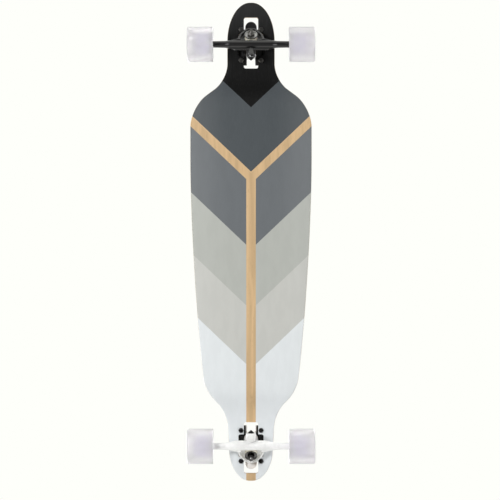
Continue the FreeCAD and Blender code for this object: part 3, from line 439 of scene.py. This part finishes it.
def cast_urethane(name, shade, glow, roughness, clear):
    """Poured urethane: milky, slightly cloudy, with a dull worn skin."""
    finish = Finish(name, IOR=1.45, Specular_IOR_Level=0.4, Transmission_Weight=clear, Subsurface_Weight=1.0,
                    Subsurface_Scale=glow, Subsurface_Radius=(1.0, 0.95, 1.0))
    at = finish.place()
    cloud = finish.noise(at, scale=45, detail=4, roughness=0.6)
    skin = finish.noise(at, scale=1100, detail=3)
    colour = finish.mottled(cloud, shade, 0.95, 1.04)
    rough = finish.scaled(cloud, 0.2, roughness - 0.1)
    return finish.surface(colour, rough, skin, strength=0.1, distance=0.0002)


def core_finish(colours):
    """Moulded nylon core with faint flow lines."""
    finish = Finish("core_finish", IOR=1.5)
    flow = finish.noise(finish.place(scale=(1, 3, 1)), scale=120, detail=3, distortion=0.8)
    colour = finish.mottled(flow, colours.core, 0.88, 1.06)
    rough = finish.scaled(flow, 0.2, 0.32)
    return finish.surface(colour, rough, flow, strength=0.1, distance=0.0002)


# Modelling helpers


def placed(name, data):
    """A new object in the scene."""
    made = bpy.data.objects.new(name, data)
    bpy.context.scene.collection.objects.link(made)
    return made


def mesh_from(bm, name):
    """Turns a finished shape into a mesh."""
    mesh = bpy.data.meshes.new(name)
    bm.to_mesh(mesh)
    bm.free()
    return mesh


def add_to(bm, shape, place):
    """Moves a finished shape to its place in a larger one."""
    bmesh.ops.transform(shape, matrix=place, verts=shape.verts[:])
    mesh = mesh_from(shape, "shape")
    bm.from_mesh(mesh)
    bpy.data.meshes.remove(mesh)


def join_up(bm, verts):
    """Makes one point of points in the same place."""
    bmesh.ops.remove_doubles(bm, verts=verts, dist=SAME_PLACE)


def chain(bm, points):
    """A run of edges through a few points."""
    verts = [bm.verts.new(point) for point in points]
    for pair in zip(verts, verts[1:]):
        bm.edges.new(pair)
    return verts


def round_off(bm, items, kind, reach, segments, measure="OFFSET"):
    """Rounds VERTICES of a chain or EDGES of a solid; the arc touches both sides at the reach."""
    bmesh.ops.bevel(bm, geom=items, affect=kind, offset=reach, offset_type=measure, segments=segments,
                    profile=0.5, material=-1)


def lathe(bm, profile, place, soft=(), steps=36):
    """Turns (radius, height) points about the place's own upright; soft lists corners and roundings."""
    shape = bmesh.new()
    verts = chain(shape, [(radius, 0, height) for radius, height in profile])
    if profile[0] == profile[-1]:
        join_up(shape, [verts[0], verts[-1]])
    for index, reach in soft:
        round_off(shape, [verts[index]], "VERTICES", reach, segments=5)
    bmesh.ops.spin(shape, geom=shape.verts[:] + shape.edges[:], cent=(0, 0, 0), axis=(0, 0, 1),
                   angle=2 * math.pi, steps=steps, use_merge=True)
    join_up(shape, shape.verts[:])
    bmesh.ops.recalc_face_normals(shape, faces=shape.faces[:])
    add_to(bm, shape, place)


def standing(point, direction):
    """A place whose upright follows a direction."""
    turn = Vector(direction).to_track_quat("Z", "Y").to_matrix().to_4x4()
    return Matrix.Translation(point) @ turn


def rise_of(edge):
    """How far apart the two ends of an edge are in height."""
    first, second = edge.verts
    return abs(first.co.z - second.co.z)


def hex_nut(bm, place, flats, height, bore, collar=0.0018):
    """Six-sided lock nut with chamfered corners and a round, bored collar on top."""
    shape = bmesh.new()
    corner = flats / math.sqrt(3)
    body = height - collar
    bmesh.ops.create_cone(shape, cap_ends=True, segments=6, radius1=corner, radius2=corner, depth=body)
    bmesh.ops.translate(shape, vec=(0, 0, body / 2), verts=shape.verts[:])
    level = [edge for edge in shape.edges if rise_of(edge) < body / 2]
    round_off(shape, level, "EDGES", corner - flats / 2, segments=3)
    add_to(bm, shape, place)
    foot, wide, lip = body - collar, flats * 0.46, 0.0002
    ring = ((bore, foot), (wide, foot), (wide, height), (bore + lip, height), (bore, height - 2 * lip),
            (bore, foot))
    lathe(bm, ring, place, soft=((2, collar * 0.55),))


def thread(bm, place, radius, bottom, top, pitch=0.00105):
    """Threaded end: ridges up the shank and a chamfered tip."""
    turns = max(2, round((top - bottom - pitch) / pitch))
    tip = radius * 0.25
    pitch = (top - bottom - tip) / turns
    root = radius - pitch * 0.45
    profile = [(0, bottom)]
    for turn in range(turns):
        profile.append((root, bottom + turn * pitch))
        profile.append((radius, bottom + (turn + 0.5) * pitch))
    profile += [(radius * 0.94, top - tip), (radius - tip, top), (0, top)]
    lathe(bm, profile, place, steps=24)


def add_piece(name, form, body, material, node, sharp=35):
    """Makes a smooth piece with sharp edges from a shape or mesh, in place of a node, on a body if given."""
    mesh = mesh_from(form, name) if isinstance(form, bmesh.types.BMesh) else form
    mesh.shade_smooth()
    mesh.set_sharp_from_angle(angle=math.radians(sharp))
    mesh.materials.clear()
    mesh.materials.append(material)
    piece = placed(name, mesh)
    if body:
        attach(piece, body)
    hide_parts(node)
    return piece


def baked(mesh, steps):
    """A mesh with modifiers applied; each step is a modifier type and its settings."""
    holder = placed("holder", mesh)
    for kind, settings in steps:
        modifier = holder.modifiers.new(kind, kind)
        for setting, choice in settings.items():
            setattr(modifier, setting, choice)
    graph = bpy.context.evaluated_depsgraph_get()
    made = bpy.data.meshes.new_from_object(holder.evaluated_get(graph))
    bpy.data.objects.remove(holder)
    bpy.data.meshes.remove(mesh)
    return made


def softened(node, grain, passes):
    """A node's form with its edges worn round, as a casting or moulding has them."""
    bm = bmesh.new()
    bm.from_mesh(NODES[node].data)
    join_up(bm, bm.verts[:])
    return baked(mesh_from(bm, node), (
        ("REMESH", {"mode": "VOXEL", "voxel_size": grain, "use_smooth_shade": True}),
        ("SMOOTH", {"factor": 0.5, "iterations": passes}),
    ))


def dress(node, material):
    """Gives a node its finish."""
    mesh = NODES[node].data
    mesh.materials.clear()
    mesh.materials.append(material)


# Deck


def run_crossing(first, first_angle, second, second_angle):
    """Where two runs meet, each given by a point and its angle to the board's length."""
    one = Vector((math.cos(first_angle), math.sin(first_angle)))
    two = Vector((math.cos(second_angle), math.sin(second_angle)))
    gap = second - first
    share = (gap.x * two.y - gap.y * two.x) / (one.x * two.y - one.y * two.x)
    return first + one * share


def trace_side(bm, sizes):
    """Left rim of the deck from the nose tip to the tail tip."""
    tip, half = DECK_HIGH.x, DECK_HIGH.y
    front, rear = middle("front_mounting_bolts").x, middle("rear_mounting_bolts").x
    nose = Vector((tip - sizes.nose_round, sizes.nose_width / 2))
    tail = Vector((sizes.tail_round - tip, sizes.tail_width / 2))
    turn = Vector((front - sizes.side_turn, half))
    shoulder = Vector((front - sizes.front_shoulder, sizes.front_shoulder_width / 2))
    haunch = Vector((rear + sizes.rear_shoulder, sizes.rear_shoulder_width / 2))
    neck = run_crossing(shoulder, -sizes.front_shoulder_angle, nose, 0)
    hip = run_crossing(shoulder, -sizes.front_shoulder_angle, turn, 0)
    rear_hip = run_crossing(haunch, sizes.rear_shoulder_angle, turn, sizes.side_taper)
    rear_neck = run_crossing(haunch, sizes.rear_shoulder_angle, tail, sizes.tail_neck_taper)
    blunt = 0.002
    corners = ((tip, blunt), (tip, nose.y), nose, neck, hip, turn, rear_hip, rear_neck, tail, (-tip, tail.y),
               (-tip, blunt))
    verts = chain(bm, [(x, y, 0) for x, y in corners])

    # each end is a half ellipse, so its arc takes up the whole of both runs
    whole = 100
    for end in (verts[1], verts[-2]):
        round_off(bm, [end], "VERTICES", whole, segments=24, measure="PERCENT")
    front_turn = math.tan(sizes.front_shoulder_angle / 2)
    rear_turn = math.tan((sizes.rear_shoulder_angle - sizes.tail_neck_taper) / 2)
    hip_reach = sizes.rear_hip_radius * math.tan((sizes.rear_shoulder_angle - sizes.side_taper) / 2)
    side_reach = sizes.side_bend_share * ((rear_hip - turn).length - hip_reach)
    bends = (
        (sizes.front_neck_radius * front_turn, 12),
        (sizes.front_hip_radius * front_turn, 12),
        (side_reach, 40),
        (hip_reach, 10),
        (sizes.rear_neck_radius * rear_turn, 10),
    )
    for corner, (reach, segments) in zip(verts[3:-3], bends):
        round_off(bm, [corner], "VERTICES", reach, segments)
    join_up(bm, bm.verts[:])
    longest = 0.006
    for edge in [edge for edge in bm.edges if edge.calc_length() > longest]:
        bmesh.ops.subdivide_edges(bm, edges=[edge], cuts=int(edge.calc_length() / longest))


def drop_line(sizes):
    """Reads how far the deck has dropped at each place along it, from one smooth spline."""
    front = middle("front_mounting_bolts").x - sizes.bend_start
    rear = middle("rear_mounting_bolts").x + sizes.bend_start
    # each pole is a share of the bend's length and a share of the drop
    shares = ((0, 0), (0.35, 0), (0.65, 1), (1, 1), (1.6, 1))
    poles = [(rear + sizes.bend_length * run, fall) for run, fall in shares]
    poles += [(front - sizes.bend_length * run, fall) for run, fall in reversed(shares)]
    curve = bpy.data.curves.new("drop_line", "CURVE")
    curve.dimensions = "3D"
    spline = curve.splines.new("NURBS")
    spline.points.add(len(poles) - 1)
    for point, (x, fall) in zip(spline.points, poles):
        point.co = (x, 0, fall, 1)
    spline.order_u = 4
    spline.use_endpoint_u = True
    spline.resolution_u = 40
    holder = bpy.data.objects.new("drop_line", curve)
    mesh = bpy.data.meshes.new_from_object(holder)
    line = sorted((vert.co.x, vert.co.z) for vert in mesh.vertices)
    bpy.data.objects.remove(holder)
    bpy.data.curves.remove(curve)
    bpy.data.meshes.remove(mesh)

    def fall_at(x):
        if x <= line[0][0] or x >= line[-1][0]:
            return 0.0
        after = next(index for index, (place, _) in enumerate(line) if place > x)
        (x0, low), (x1, high) = line[after - 1], line[after]
        return low + (high - low) * (x - x0) / (x1 - x0)

    return fall_at


def underside_of(sizes):
    """Reads the height of the deck's underside at any place."""
    fall_at = drop_line(sizes)
    base = DECK_HIGH.z - sizes.deck_thickness

    def height(x, y):
        dish = sizes.platform_drop + sizes.concave_depth * (1 - (y / DECK_HIGH.y) ** 2)
        return base - fall_at(x) * dish

    return height


def bolt_spots(centre, sizes):
    """The four mounting holes of a truck, seen from above."""
    half_long, half_wide = sizes.bolt_pitch_long / 2, sizes.bolt_pitch_wide / 2
    return [Vector((centre.x + along * half_long, centre.y + across * half_wide))
            for along in (-1, 1) for across in (-1, 1)]


def opening_cutter(sizes):
    """The truck openings and bolt holes, as one solid to take out of the deck."""
    bm = bmesh.new()
    tall, hole_radius, corner = 0.1, 0.00258, 0.004
    slot_back, slot_front, slot_width = -0.0485, 0.0574, 0.0296
    window_reach, window_width = 0.0234, 0.052
    blocks = ((slot_back, slot_front, slot_width), (-window_reach, window_reach, window_width))
    for truck, direction in TRUCKS.items():
        centre = middle(f"{truck}_mounting_bolts")
        for back, front, width in blocks:
            block = bmesh.ops.create_cube(bm, size=1)["verts"]
            bmesh.ops.scale(bm, vec=(front - back, width, tall), verts=block)
            shift = (centre.x + direction * (back + front) / 2, 0, DECK_HIGH.z)
            bmesh.ops.translate(bm, vec=shift, verts=block)
            edges = [edge for edge in bm.edges if edge.verts[0] in block and rise_of(edge) > tall / 2]
            round_off(bm, edges, "EDGES", corner, segments=5)
        for spot in bolt_spots(centre, sizes):
            hole = bmesh.ops.create_cone(bm, cap_ends=True, segments=24, radius1=hole_radius,
                                         radius2=hole_radius, depth=tall)["verts"]
            bmesh.ops.translate(bm, vec=(*spot, DECK_HIGH.z), verts=hole)
    return placed("opening_cutter", mesh_from(bm, "opening_cutter"))


def fill_outline(bm, sizes):
    """Flat faces across the deck, from the left rim to its mirror image."""
    trace_side(bm, sizes)
    rim = bmesh.ops.extrude_edge_only(bm, edges=bm.edges[:])
    for vert in (item for item in rim["geom"] if isinstance(item, bmesh.types.BMVert)):
        vert.co.y = -vert.co.y
    join_up(bm, bm.verts[:])
    bmesh.ops.recalc_face_normals(bm, faces=bm.faces[:])


def ring_rim(bm, radius):
    """Rings of faces along the rim, which take its rounding; each point keeps its depth from the rim."""
    depth = bm.verts.layers.float.new("depth")
    inner = bm.faces[:]
    reached = 0.0
    for degrees in (30, 60, 90):
        step = radius * (1 - math.cos(math.radians(degrees)))
        bmesh.ops.inset_region(bm, faces=inner, thickness=step - reached, use_boundary=True,
                               use_even_offset=True)
        reached = step
        for vert in (vert for face in inner for vert in face.verts):
            vert[depth] = reached


def cut_across(bm, cuts):
    """Cuts the faces that run from side to side, so that they can take the concave."""
    slant = 1e-5
    cross = [edge for edge in bm.edges if edge.verts[0].co.y * edge.verts[1].co.y < 0
             and abs(edge.verts[0].co.x - edge.verts[1].co.x) < slant]
    bmesh.ops.subdivide_edges(bm, edges=cross, cuts=cuts, use_grid_fill=True)


def thicken(bm, sizes, underside):
    """Gives the flat faces the deck's thickness, drop and concave, and the rim its rounding."""
    raised = bmesh.ops.extrude_face_region(bm, geom=bm.faces[:])["geom"]
    upper = {item for item in raised if isinstance(item, bmesh.types.BMVert)}
    depth = bm.verts.layers.float["depth"]
    radius = sizes.edge_radius
    for vert in bm.verts:
        short = radius - min(vert[depth], radius)
        lift = radius - math.sqrt(max(0.0, radius ** 2 - short ** 2))
        low = underside(vert.co.x, vert.co.y)
        vert.co.z = low + sizes.deck_thickness - lift if vert in upper else low + lift
    bmesh.ops.recalc_face_normals(bm, faces=bm.faces[:])


def with_openings(mesh, sizes):
    """The deck's mesh with the openings cut out and their edges broken."""
    cutter = opening_cutter(sizes)
    broken, least_angle = 0.0007, math.radians(55)
    mesh = baked(mesh, (
        ("BOOLEAN", {"operation": "DIFFERENCE", "solver": "EXACT", "object": cutter, "use_self": True}),
        ("BEVEL", {"width": broken, "segments": 2, "limit_method": "ANGLE", "angle_limit": least_angle}),
    ))
    bpy.data.objects.remove(cutter)
    return mesh


class LONGBOARD_OT_deck(Operator):
    """Laminated deck with rounded rim, dropped platform and openings for the trucks"""

    bl_idname = "longboard.deck"
    bl_label = "Deck"

    def execute(self, context):
        sizes, colours = context.scene.longboard_sizes, context.scene.longboard_colours
        underside = underside_of(sizes)
        bm = bmesh.new()
        fill_outline(bm, sizes)
        ring_rim(bm, sizes.edge_radius)
        cut_across(bm, cuts=17)
        thicken(bm, sizes, underside)
        mesh = with_openings(mesh_from(bm, "deck_board"), sizes)
        ply = mesh.attributes.new("ply", "FLOAT", "POINT")
        for vert in mesh.vertices:
            ply.data[vert.index].value = (vert.co.z - underside(vert.co.x, vert.co.y)) / sizes.deck_thickness
        add_piece("deck_board", mesh, "deck", deck_finish(sizes, colours), "deck", sharp=40)
        return {"FINISHED"}


class LONGBOARD_OT_grip(Operator):
    """Grip tape on top of the deck"""

    bl_idname = "longboard.grip"
    bl_label = "Grip tape"

    def execute(self, context):
        dress("grip_tape", grip_finish(context.scene.longboard_colours))
        return {"FINISHED"}


# Trucks


def kingpin_line(truck):
    """Centre of the bushing seats and the direction of the kingpin away from the deck."""
    joint = next(joint for joint in frame["joints"] if joint["name"] == f"{truck}_steer")
    axis = Vector(joint["axis"])
    away = Vector((axis.z, 0, -axis.x)) if axis.x > 0 else Vector((-axis.z, 0, axis.x))
    return Vector(joint["pos_m"]), away.normalized()


def stretch(node, start, direction):
    """Where a node begins and ends along a line."""
    places = [(vert.co - start).dot(direction) for vert in NODES[node].data.vertices]
    return min(places), max(places)


class LONGBOARD_OT_castings(Operator):
    """Painted hangers and baseplates, black in front and white behind, with rounded cast edges"""

    bl_idname = "longboard.castings"
    bl_label = "Truck castings"

    def execute(self, context):
        colours = context.scene.longboard_colours
        # knocked-edge colours; the lighter one on the black paint is also a painted highlight
        dull, bright = (0.32, 0.32, 0.32), (0.62, 0.62, 0.61)
        paints = {
            "front": cast_paint("black_paint_finish", colours.black_paint, bare=dull, shine=0.8),
            "rear": cast_paint("white_paint_finish", colours.white_paint, bare=bright, shine=0.5),
        }
        for truck in TRUCKS:
            for node, body in ((f"{truck}_hanger", f"{truck}_hanger"), (f"{truck}_baseplate", "deck")):
                casting = softened(node, grain=0.0008, passes=5)
                add_piece(f"{node}_casting", casting, body, paints[truck], node, sharp=60)
        return {"FINISHED"}


class LONGBOARD_OT_rubber(Operator):
    """Riser pads and pivot cups"""

    bl_idname = "longboard.rubber"
    bl_label = "Rubber parts"

    def execute(self, context):
        rubber = rubber_finish(context.scene.longboard_colours)
        for truck in TRUCKS:
            for part in ("riser_pad", "pivot_cup"):
                node = f"{truck}_{part}"
                moulding = softened(node, grain=0.0006, passes=3)
                add_piece(f"{node}_rubber", moulding, "deck", rubber, node, sharp=60)
        return {"FINISHED"}


def cut_levels(bm, foot, direction, height, count):
    """Cuts rings across a turned shape, so that it can bend."""
    for level in range(1, count):
        bmesh.ops.bisect_plane(bm, geom=bm.verts[:] + bm.edges[:] + bm.faces[:], dist=SAME_PLACE,
                               plane_co=foot + direction * height * level / count, plane_no=direction)


class LONGBOARD_OT_bushings(Operator):
    """Soft bushings on both sides of each hanger's ring, which tilt with it"""

    bl_idname = "longboard.bushings"
    bl_label = "Bushings"

    def execute(self, context):
        colours = context.scene.longboard_colours
        urethane = cast_urethane("bushing_finish", colours.bushing, glow=0.003, roughness=0.4, clear=0.0)
        bore, wide, narrow = 0.0052, 0.013, 0.0115
        for truck in TRUCKS:
            centre, away = kingpin_line(truck)
            self.bushing(truck, "boardside", centre, -away, (bore, wide, wide), urethane)
            self.bushing(truck, "roadside", centre, away, (bore, wide, narrow), urethane)
        return {"FINISHED"}

    def bushing(self, truck, part, centre, direction, radii, urethane):
        """One bushing, from the hanger's ring along the kingpin, with its far end chamfered."""
        node = f"{truck}_{part}_bushing"
        bore, near, far = radii
        seat, lip, chamfer = 0.002, 0.001, 0.0006
        foot, top = stretch(node, centre, direction)
        height = top - foot
        profile = ((bore, 0), (near, 0), (near, seat), (far, height - lip), (far - chamfer, height),
                   (bore, height), (bore, 0))
        soft = ((1, 0.0011), (3, 0.0009), (4, 0.0004))
        first, last = centre + direction * foot, centre + direction * top
        bm = bmesh.new()
        lathe(bm, profile, standing(first, direction), soft, steps=64)
        cut_levels(bm, first, direction, height, count=6)
        piece = add_piece(f"{node}_soft", bm, None, urethane, node, sharp=50)
        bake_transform(piece, "deck", f"{truck}_hanger", start=tuple(last), end=tuple(first))


class LONGBOARD_OT_hardware(Operator):
    """Bolts, lock nuts, kingpins, washers, axles and speed rings"""

    bl_idname = "longboard.hardware"
    bl_label = "Hardware"

    def execute(self, context):
        sizes = context.scene.longboard_sizes
        steel = metal("zinc_steel_finish", (0.46, 0.46, 0.45), roughness=0.3)
        black = metal("black_steel_finish", (0.045, 0.043, 0.043), roughness=0.27)
        dark = metal("dark_zinc_finish", (0.20, 0.195, 0.185), roughness=0.28)
        oiled = metal("oiled_steel_finish", (0.10, 0.097, 0.092), roughness=0.32)
        gun = metal("gunmetal_finish", (0.125, 0.121, 0.121), roughness=0.18)
        stacks = {
            "front": (steel, dark, oiled, oiled, "steel"),
            "rear": (gun, black, gun, black, "black_steel"),
        }
        for truck in TRUCKS:
            washer, nut, pin, bolt, slot = stacks[truck]
            dress(f"{truck}_boardside_washer", washer)
            dress(f"{truck}_roadside_washer", washer)
            dress(f"{truck}_speed_rings", steel)
            dress(f"{truck}_bearing_spacers", steel)
            self.mounting(truck, sizes, bolt)
            self.kingpin(truck, nut, pin, slot)
            self.axle(truck, steel)
        return {"FINISHED"}

    def mounting(self, truck, sizes, steel):
        """Four bolts with domed socket heads, and their lock nuts under the deck."""
        bolts, nuts = bmesh.new(), bmesh.new()
        bolt_low, bolt_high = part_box(f"{truck}_mounting_bolts")
        nut_low, nut_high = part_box(f"{truck}_mounting_nuts")
        centre = (bolt_low + bolt_high) / 2
        head = bolt_high.x - centre.x - sizes.bolt_pitch_long / 2
        flats = (nut_high.y - centre.y - sizes.bolt_pitch_wide / 2) * 2
        radius, plain, overlap, pitch, collar = 0.00238, 0.02, 0.001, 0.0008, 0.0012
        crown, brim, socket, socket_foot, socket_floor = 0.0028, 0.0009, 0.0016, 0.0012, 0.0010
        shape = ((0, -plain), (radius, -plain), (radius, 0), (head, 0), (head, brim), (head * 0.55, crown),
                 (socket, crown), (socket * 0.9, socket_foot), (0, socket_floor))
        soft = ((4, 0.0006), (5, 0.0012))
        seat = bolt_high.z - crown
        start = seat - plain + overlap
        for x, y in bolt_spots(centre, sizes):
            lathe(bolts, shape, Matrix.Translation((x, y, seat)), soft)
            thread(bolts, standing((x, y, start), DOWN), radius, 0, start - bolt_low.z, pitch)
            hex_nut(nuts, standing((x, y, nut_high.z), DOWN), flats, nut_high.z - nut_low.z, radius, collar)
        add_piece(f"{truck}_bolts_set", bolts, "deck", steel, f"{truck}_mounting_bolts")
        add_piece(f"{truck}_nuts_set", nuts, "deck", steel, f"{truck}_mounting_nuts")

    def kingpin(self, truck, nut, pin, slot):
        """Kingpin nut with its collar, and the threaded end standing out of it."""
        centre, away = kingpin_line(truck)
        start, end = stretch(f"{truck}_kingpin_nut", centre, away)
        low, high = stretch(f"{truck}_kingpin", centre, away)
        radius, flats, head, crown, overlap = 0.0047, 0.0143, 0.0076, 0.0055, 0.0005
        bm = bmesh.new()
        hex_nut(bm, standing(centre + away * start, away), flats, end - start, radius)
        add_piece(f"{truck}_kingpin_lock_nut", bm, "deck", nut, f"{truck}_kingpin_nut")
        bm = bmesh.new()
        place = standing(centre + away * low, away)
        plain = start - low - overlap
        shape = ((0, 0), (head, 0), (head, crown), (radius, crown), (radius, plain), (0, plain))
        lathe(bm, shape, place, soft=((1, 0.001),), steps=6)
        lathe(bm, ((0, crown), (radius, crown), (radius, plain), (0, plain)), place)
        thread(bm, place, radius, plain, high - low)
        add_piece(f"{truck}_kingpin_bolt", bm, "deck", pin, f"{truck}_kingpin")

    def axle(self, truck, steel):
        """Axle with threaded ends and a lock nut at each end."""
        low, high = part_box(f"{truck}_axle")
        nut_low, nut_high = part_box(f"{truck}_axle_nuts")
        centre = (low + high) / 2
        inner = min(abs(vert.co.y) for vert in NODES[f"{truck}_axle_nuts"].data.vertices)
        rod, nuts = bmesh.new(), bmesh.new()
        radius = (high.z - low.z) / 2
        overlap = 0.001
        reach = inner - overlap
        flats = min(nut_high.z - nut_low.z, nut_high.x - nut_low.x)
        shape = ((0, -reach), (radius, -reach), (radius, reach), (0, reach))
        lathe(rod, shape, standing(centre, (0, 1, 0)))
        for sign in SIDES.values():
            way = Vector((0, sign, 0))
            thread(rod, standing(centre + way * reach, way), radius, 0, high.y - reach)
            hex_nut(nuts, standing(centre + way * inner, way), flats, nut_high.y - inner, radius)
        body = f"{truck}_hanger"
        add_piece(f"{truck}_axle_rod", rod, body, steel, f"{truck}_axle")
        add_piece(f"{truck}_axle_lock_nuts", nuts, body, steel, f"{truck}_axle_nuts")


# Wheels


class LONGBOARD_OT_wheels(Operator):
    """Milky urethane tyres on cores and ball bearings"""

    bl_idname = "longboard.wheels"
    bl_label = "Wheels"

    def execute(self, context):
        colours = context.scene.longboard_colours
        urethane = cast_urethane("urethane_finish", colours.urethane, glow=0.02, roughness=0.38, clear=0.6)
        race = metal("race_finish", (0.62, 0.62, 0.61), roughness=0.2)
        finishes = {
            "core": core_finish(colours),
            "bearing_outer_rings": race,
            "bearing_shields": metal("shield_finish", (0.13, 0.13, 0.14), roughness=0.36),
            "bearing_balls": race,
            "bearing_cages": metal("cage_finish", (0.50, 0.46, 0.38), roughness=0.4),
        }
        for truck in TRUCKS:
            dress(f"{truck}_bearing_inner_rings", race)
            for side, sign in SIDES.items():
                wheel = f"{truck}_{side}"
                for part, finish in finishes.items():
                    dress(f"{wheel}_{part}", finish)
                self.tyre(wheel, sign, urethane)
        return {"FINISHED"}

    def tyre(self, wheel, sign, urethane):
        """One tyre, turned about its axle, with rounded lips and a recess around the core."""
        low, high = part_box(f"{wheel}_tyre")
        core_low, core_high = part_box(f"{wheel}_core")
        centre = (low + high) / 2
        radius = (high.z - low.z) / 2
        inner, outer = sorted(abs(y) for y in (low.y, high.y))
        hub_in, hub_out = sorted(abs(y) for y in (core_low.y, core_high.y))
        hub = (core_high.z - core_low.z) / 2
        recess, mouth, inner_lip, outer_lip = 0.025, 0.0025, 0.002, 0.0045
        profile = ((hub, hub_in), (recess, inner), (radius, inner), (radius, outer), (recess, outer),
                   (hub, hub_out), (hub, hub_in))
        soft = ((1, mouth), (2, inner_lip), (3, outer_lip), (4, mouth))
        bm = bmesh.new()
        lathe(bm, profile, standing((centre.x, 0, centre.z), (0, sign, 0)), soft, steps=96)
        add_piece(f"{wheel}_tyre_urethane", bm, f"{wheel}_wheel", urethane, f"{wheel}_tyre",
                  sharp=40)


# Stage


class LONGBOARD_OT_stage(Operator):
    """Pale floor, soft light and the camera under the board"""

    bl_idname = "longboard.stage"
    bl_label = "Stage"

    def execute(self, context):
        self.floor()
        self.world(context)
        self.lights()
        self.camera(context)
        context.scene.view_settings.view_transform = "Standard"
        return {"FINISHED"}

    def floor(self):
        """Pale floor that is clear from below, so that the camera sees the underside through it."""
        bm = bmesh.new()
        bmesh.ops.create_grid(bm, x_segments=1, y_segments=1, size=6)
        mesh = mesh_from(bm, "floor")
        floor = placed("floor", mesh)
        finish = Finish("floor_finish", Roughness=0.9)
        cloud = finish.noise(finish.place(), scale=3, detail=3)
        finish.set(Base_Color=finish.mix(cloud, (0.86, 0.86, 0.85), (0.9, 0.9, 0.89)))
        choice = finish.node("MixShader")
        finish.feed(choice.inputs[0], finish.node("NewGeometry").outputs["Backfacing"])
        finish.feed(choice.inputs[1], finish.shader.outputs[0])
        finish.feed(choice.inputs[2], finish.node("BsdfTransparent").outputs[0])
        finish.feed(finish.tree.nodes["Material Output"].inputs[0], choice.outputs[0])
        mesh.materials.append(finish.material)
        for rays in ("shadow", "diffuse", "glossy", "transmission"):
            setattr(floor, f"visible_{rays}", False)

    def world(self, context):
        """Near-white to the camera; as light, dark below, so that gloss has bright rims and deep middles."""
        world = bpy.data.worlds.new("studio")
        context.scene.world = world
        world.use_nodes = True
        studio = Tree(world.node_tree)
        dark_until, bright_from, dim, full = -0.95, -0.35, 0.06, 1.0
        height = studio.parts(studio.node("TexCoord").outputs["Generated"])["Z"]
        light = studio.between(height, dark_until, bright_from, dim, full)
        seen = studio.node("LightPath").outputs["Is Camera Ray"]
        back = studio.tree.nodes["Background"]
        studio.feed(back.inputs["Color"], (0.992, 1.0, 0.957))
        studio.feed(back.inputs["Strength"], studio.math("MAXIMUM", light, seen))

    def lights(self):
        """Round lamps aimed at the board; each has a place, a size and a power."""
        lamps = (
            ("under_key", (0.4, -1.3, -2.5), 0.5, 38.5),
            ("under_fill", (-0.2, 1.3, -2.6), 1.4, 16),
            ("over_key", (-1.2, -1.6, 2.6), 2.0, 75),
            ("over_fill", (1.4, 1.8, 2.0), 2.4, 35),
        )
        for name, spot, size, power in lamps:
            lamp = bpy.data.lights.new(name, "AREA")
            lamp.shape = "DISK"
            lamp.size = size
            lamp.energy = power
            holder = placed(name, lamp)
            holder.location = spot
            holder.rotation_euler = (-Vector(spot)).to_track_quat("-Z", "Y").to_euler()

    def camera(self, context):
        """Straight under the board, nose at the top of the picture."""
        camera = bpy.data.cameras.new("camera")
        distance, view_width, behind, aside = 4.0, 1.0375, -0.0171, -0.0021
        camera.sensor_width = 36
        camera.lens = camera.sensor_width * (distance + DECK_HIGH.z) / view_width
        camera.clip_end = 50
        holder = placed("camera", camera)
        facing = Matrix(((0, 1, 0), (1, 0, 0), (0, 0, -1))).to_4x4()
        holder.matrix_world = Matrix.Translation((behind, aside, -distance)) @ facing
        context.scene.camera = holder


OPERATORS = (
    LONGBOARD_OT_deck,
    LONGBOARD_OT_grip,
    LONGBOARD_OT_castings,
    LONGBOARD_OT_rubber,
    LONGBOARD_OT_bushings,
    LONGBOARD_OT_hardware,
    LONGBOARD_OT_wheels,
    LONGBOARD_OT_stage,
)


class LONGBOARD_PT_pieces(Panel):
    """Lists the pieces of the longboard and the stage"""

    bl_idname = "LONGBOARD_PT_pieces"
    bl_label = "Longboard"
    bl_space_type = "VIEW_3D"
    bl_region_type = "UI"
    bl_category = "Longboard"

    def draw(self, context):
        for operator in OPERATORS:
            self.layout.operator(operator.bl_idname)
        for group in (context.scene.longboard_sizes, context.scene.longboard_colours):
            box = self.layout.box()
            for name in group.__annotations__:
                box.prop(group, name)


CLASSES = (LongboardSizes, LongboardColours, *OPERATORS, LONGBOARD_PT_pieces)


def register():
    for made in CLASSES:
        bpy.utils.register_class(made)
    bpy.types.Scene.longboard_sizes = PointerProperty(type=LongboardSizes)
    bpy.types.Scene.longboard_colours = PointerProperty(type=LongboardColours)


def unregister():
    del bpy.types.Scene.longboard_colours
    del bpy.types.Scene.longboard_sizes
    for made in reversed(CLASSES):
        bpy.utils.unregister_class(made)


def main():
    register()
    for operator in OPERATORS:
        family, name = operator.bl_idname.split(".")
        getattr(getattr(bpy.ops, family), name)()


if __name__ == "__main__":
    main()
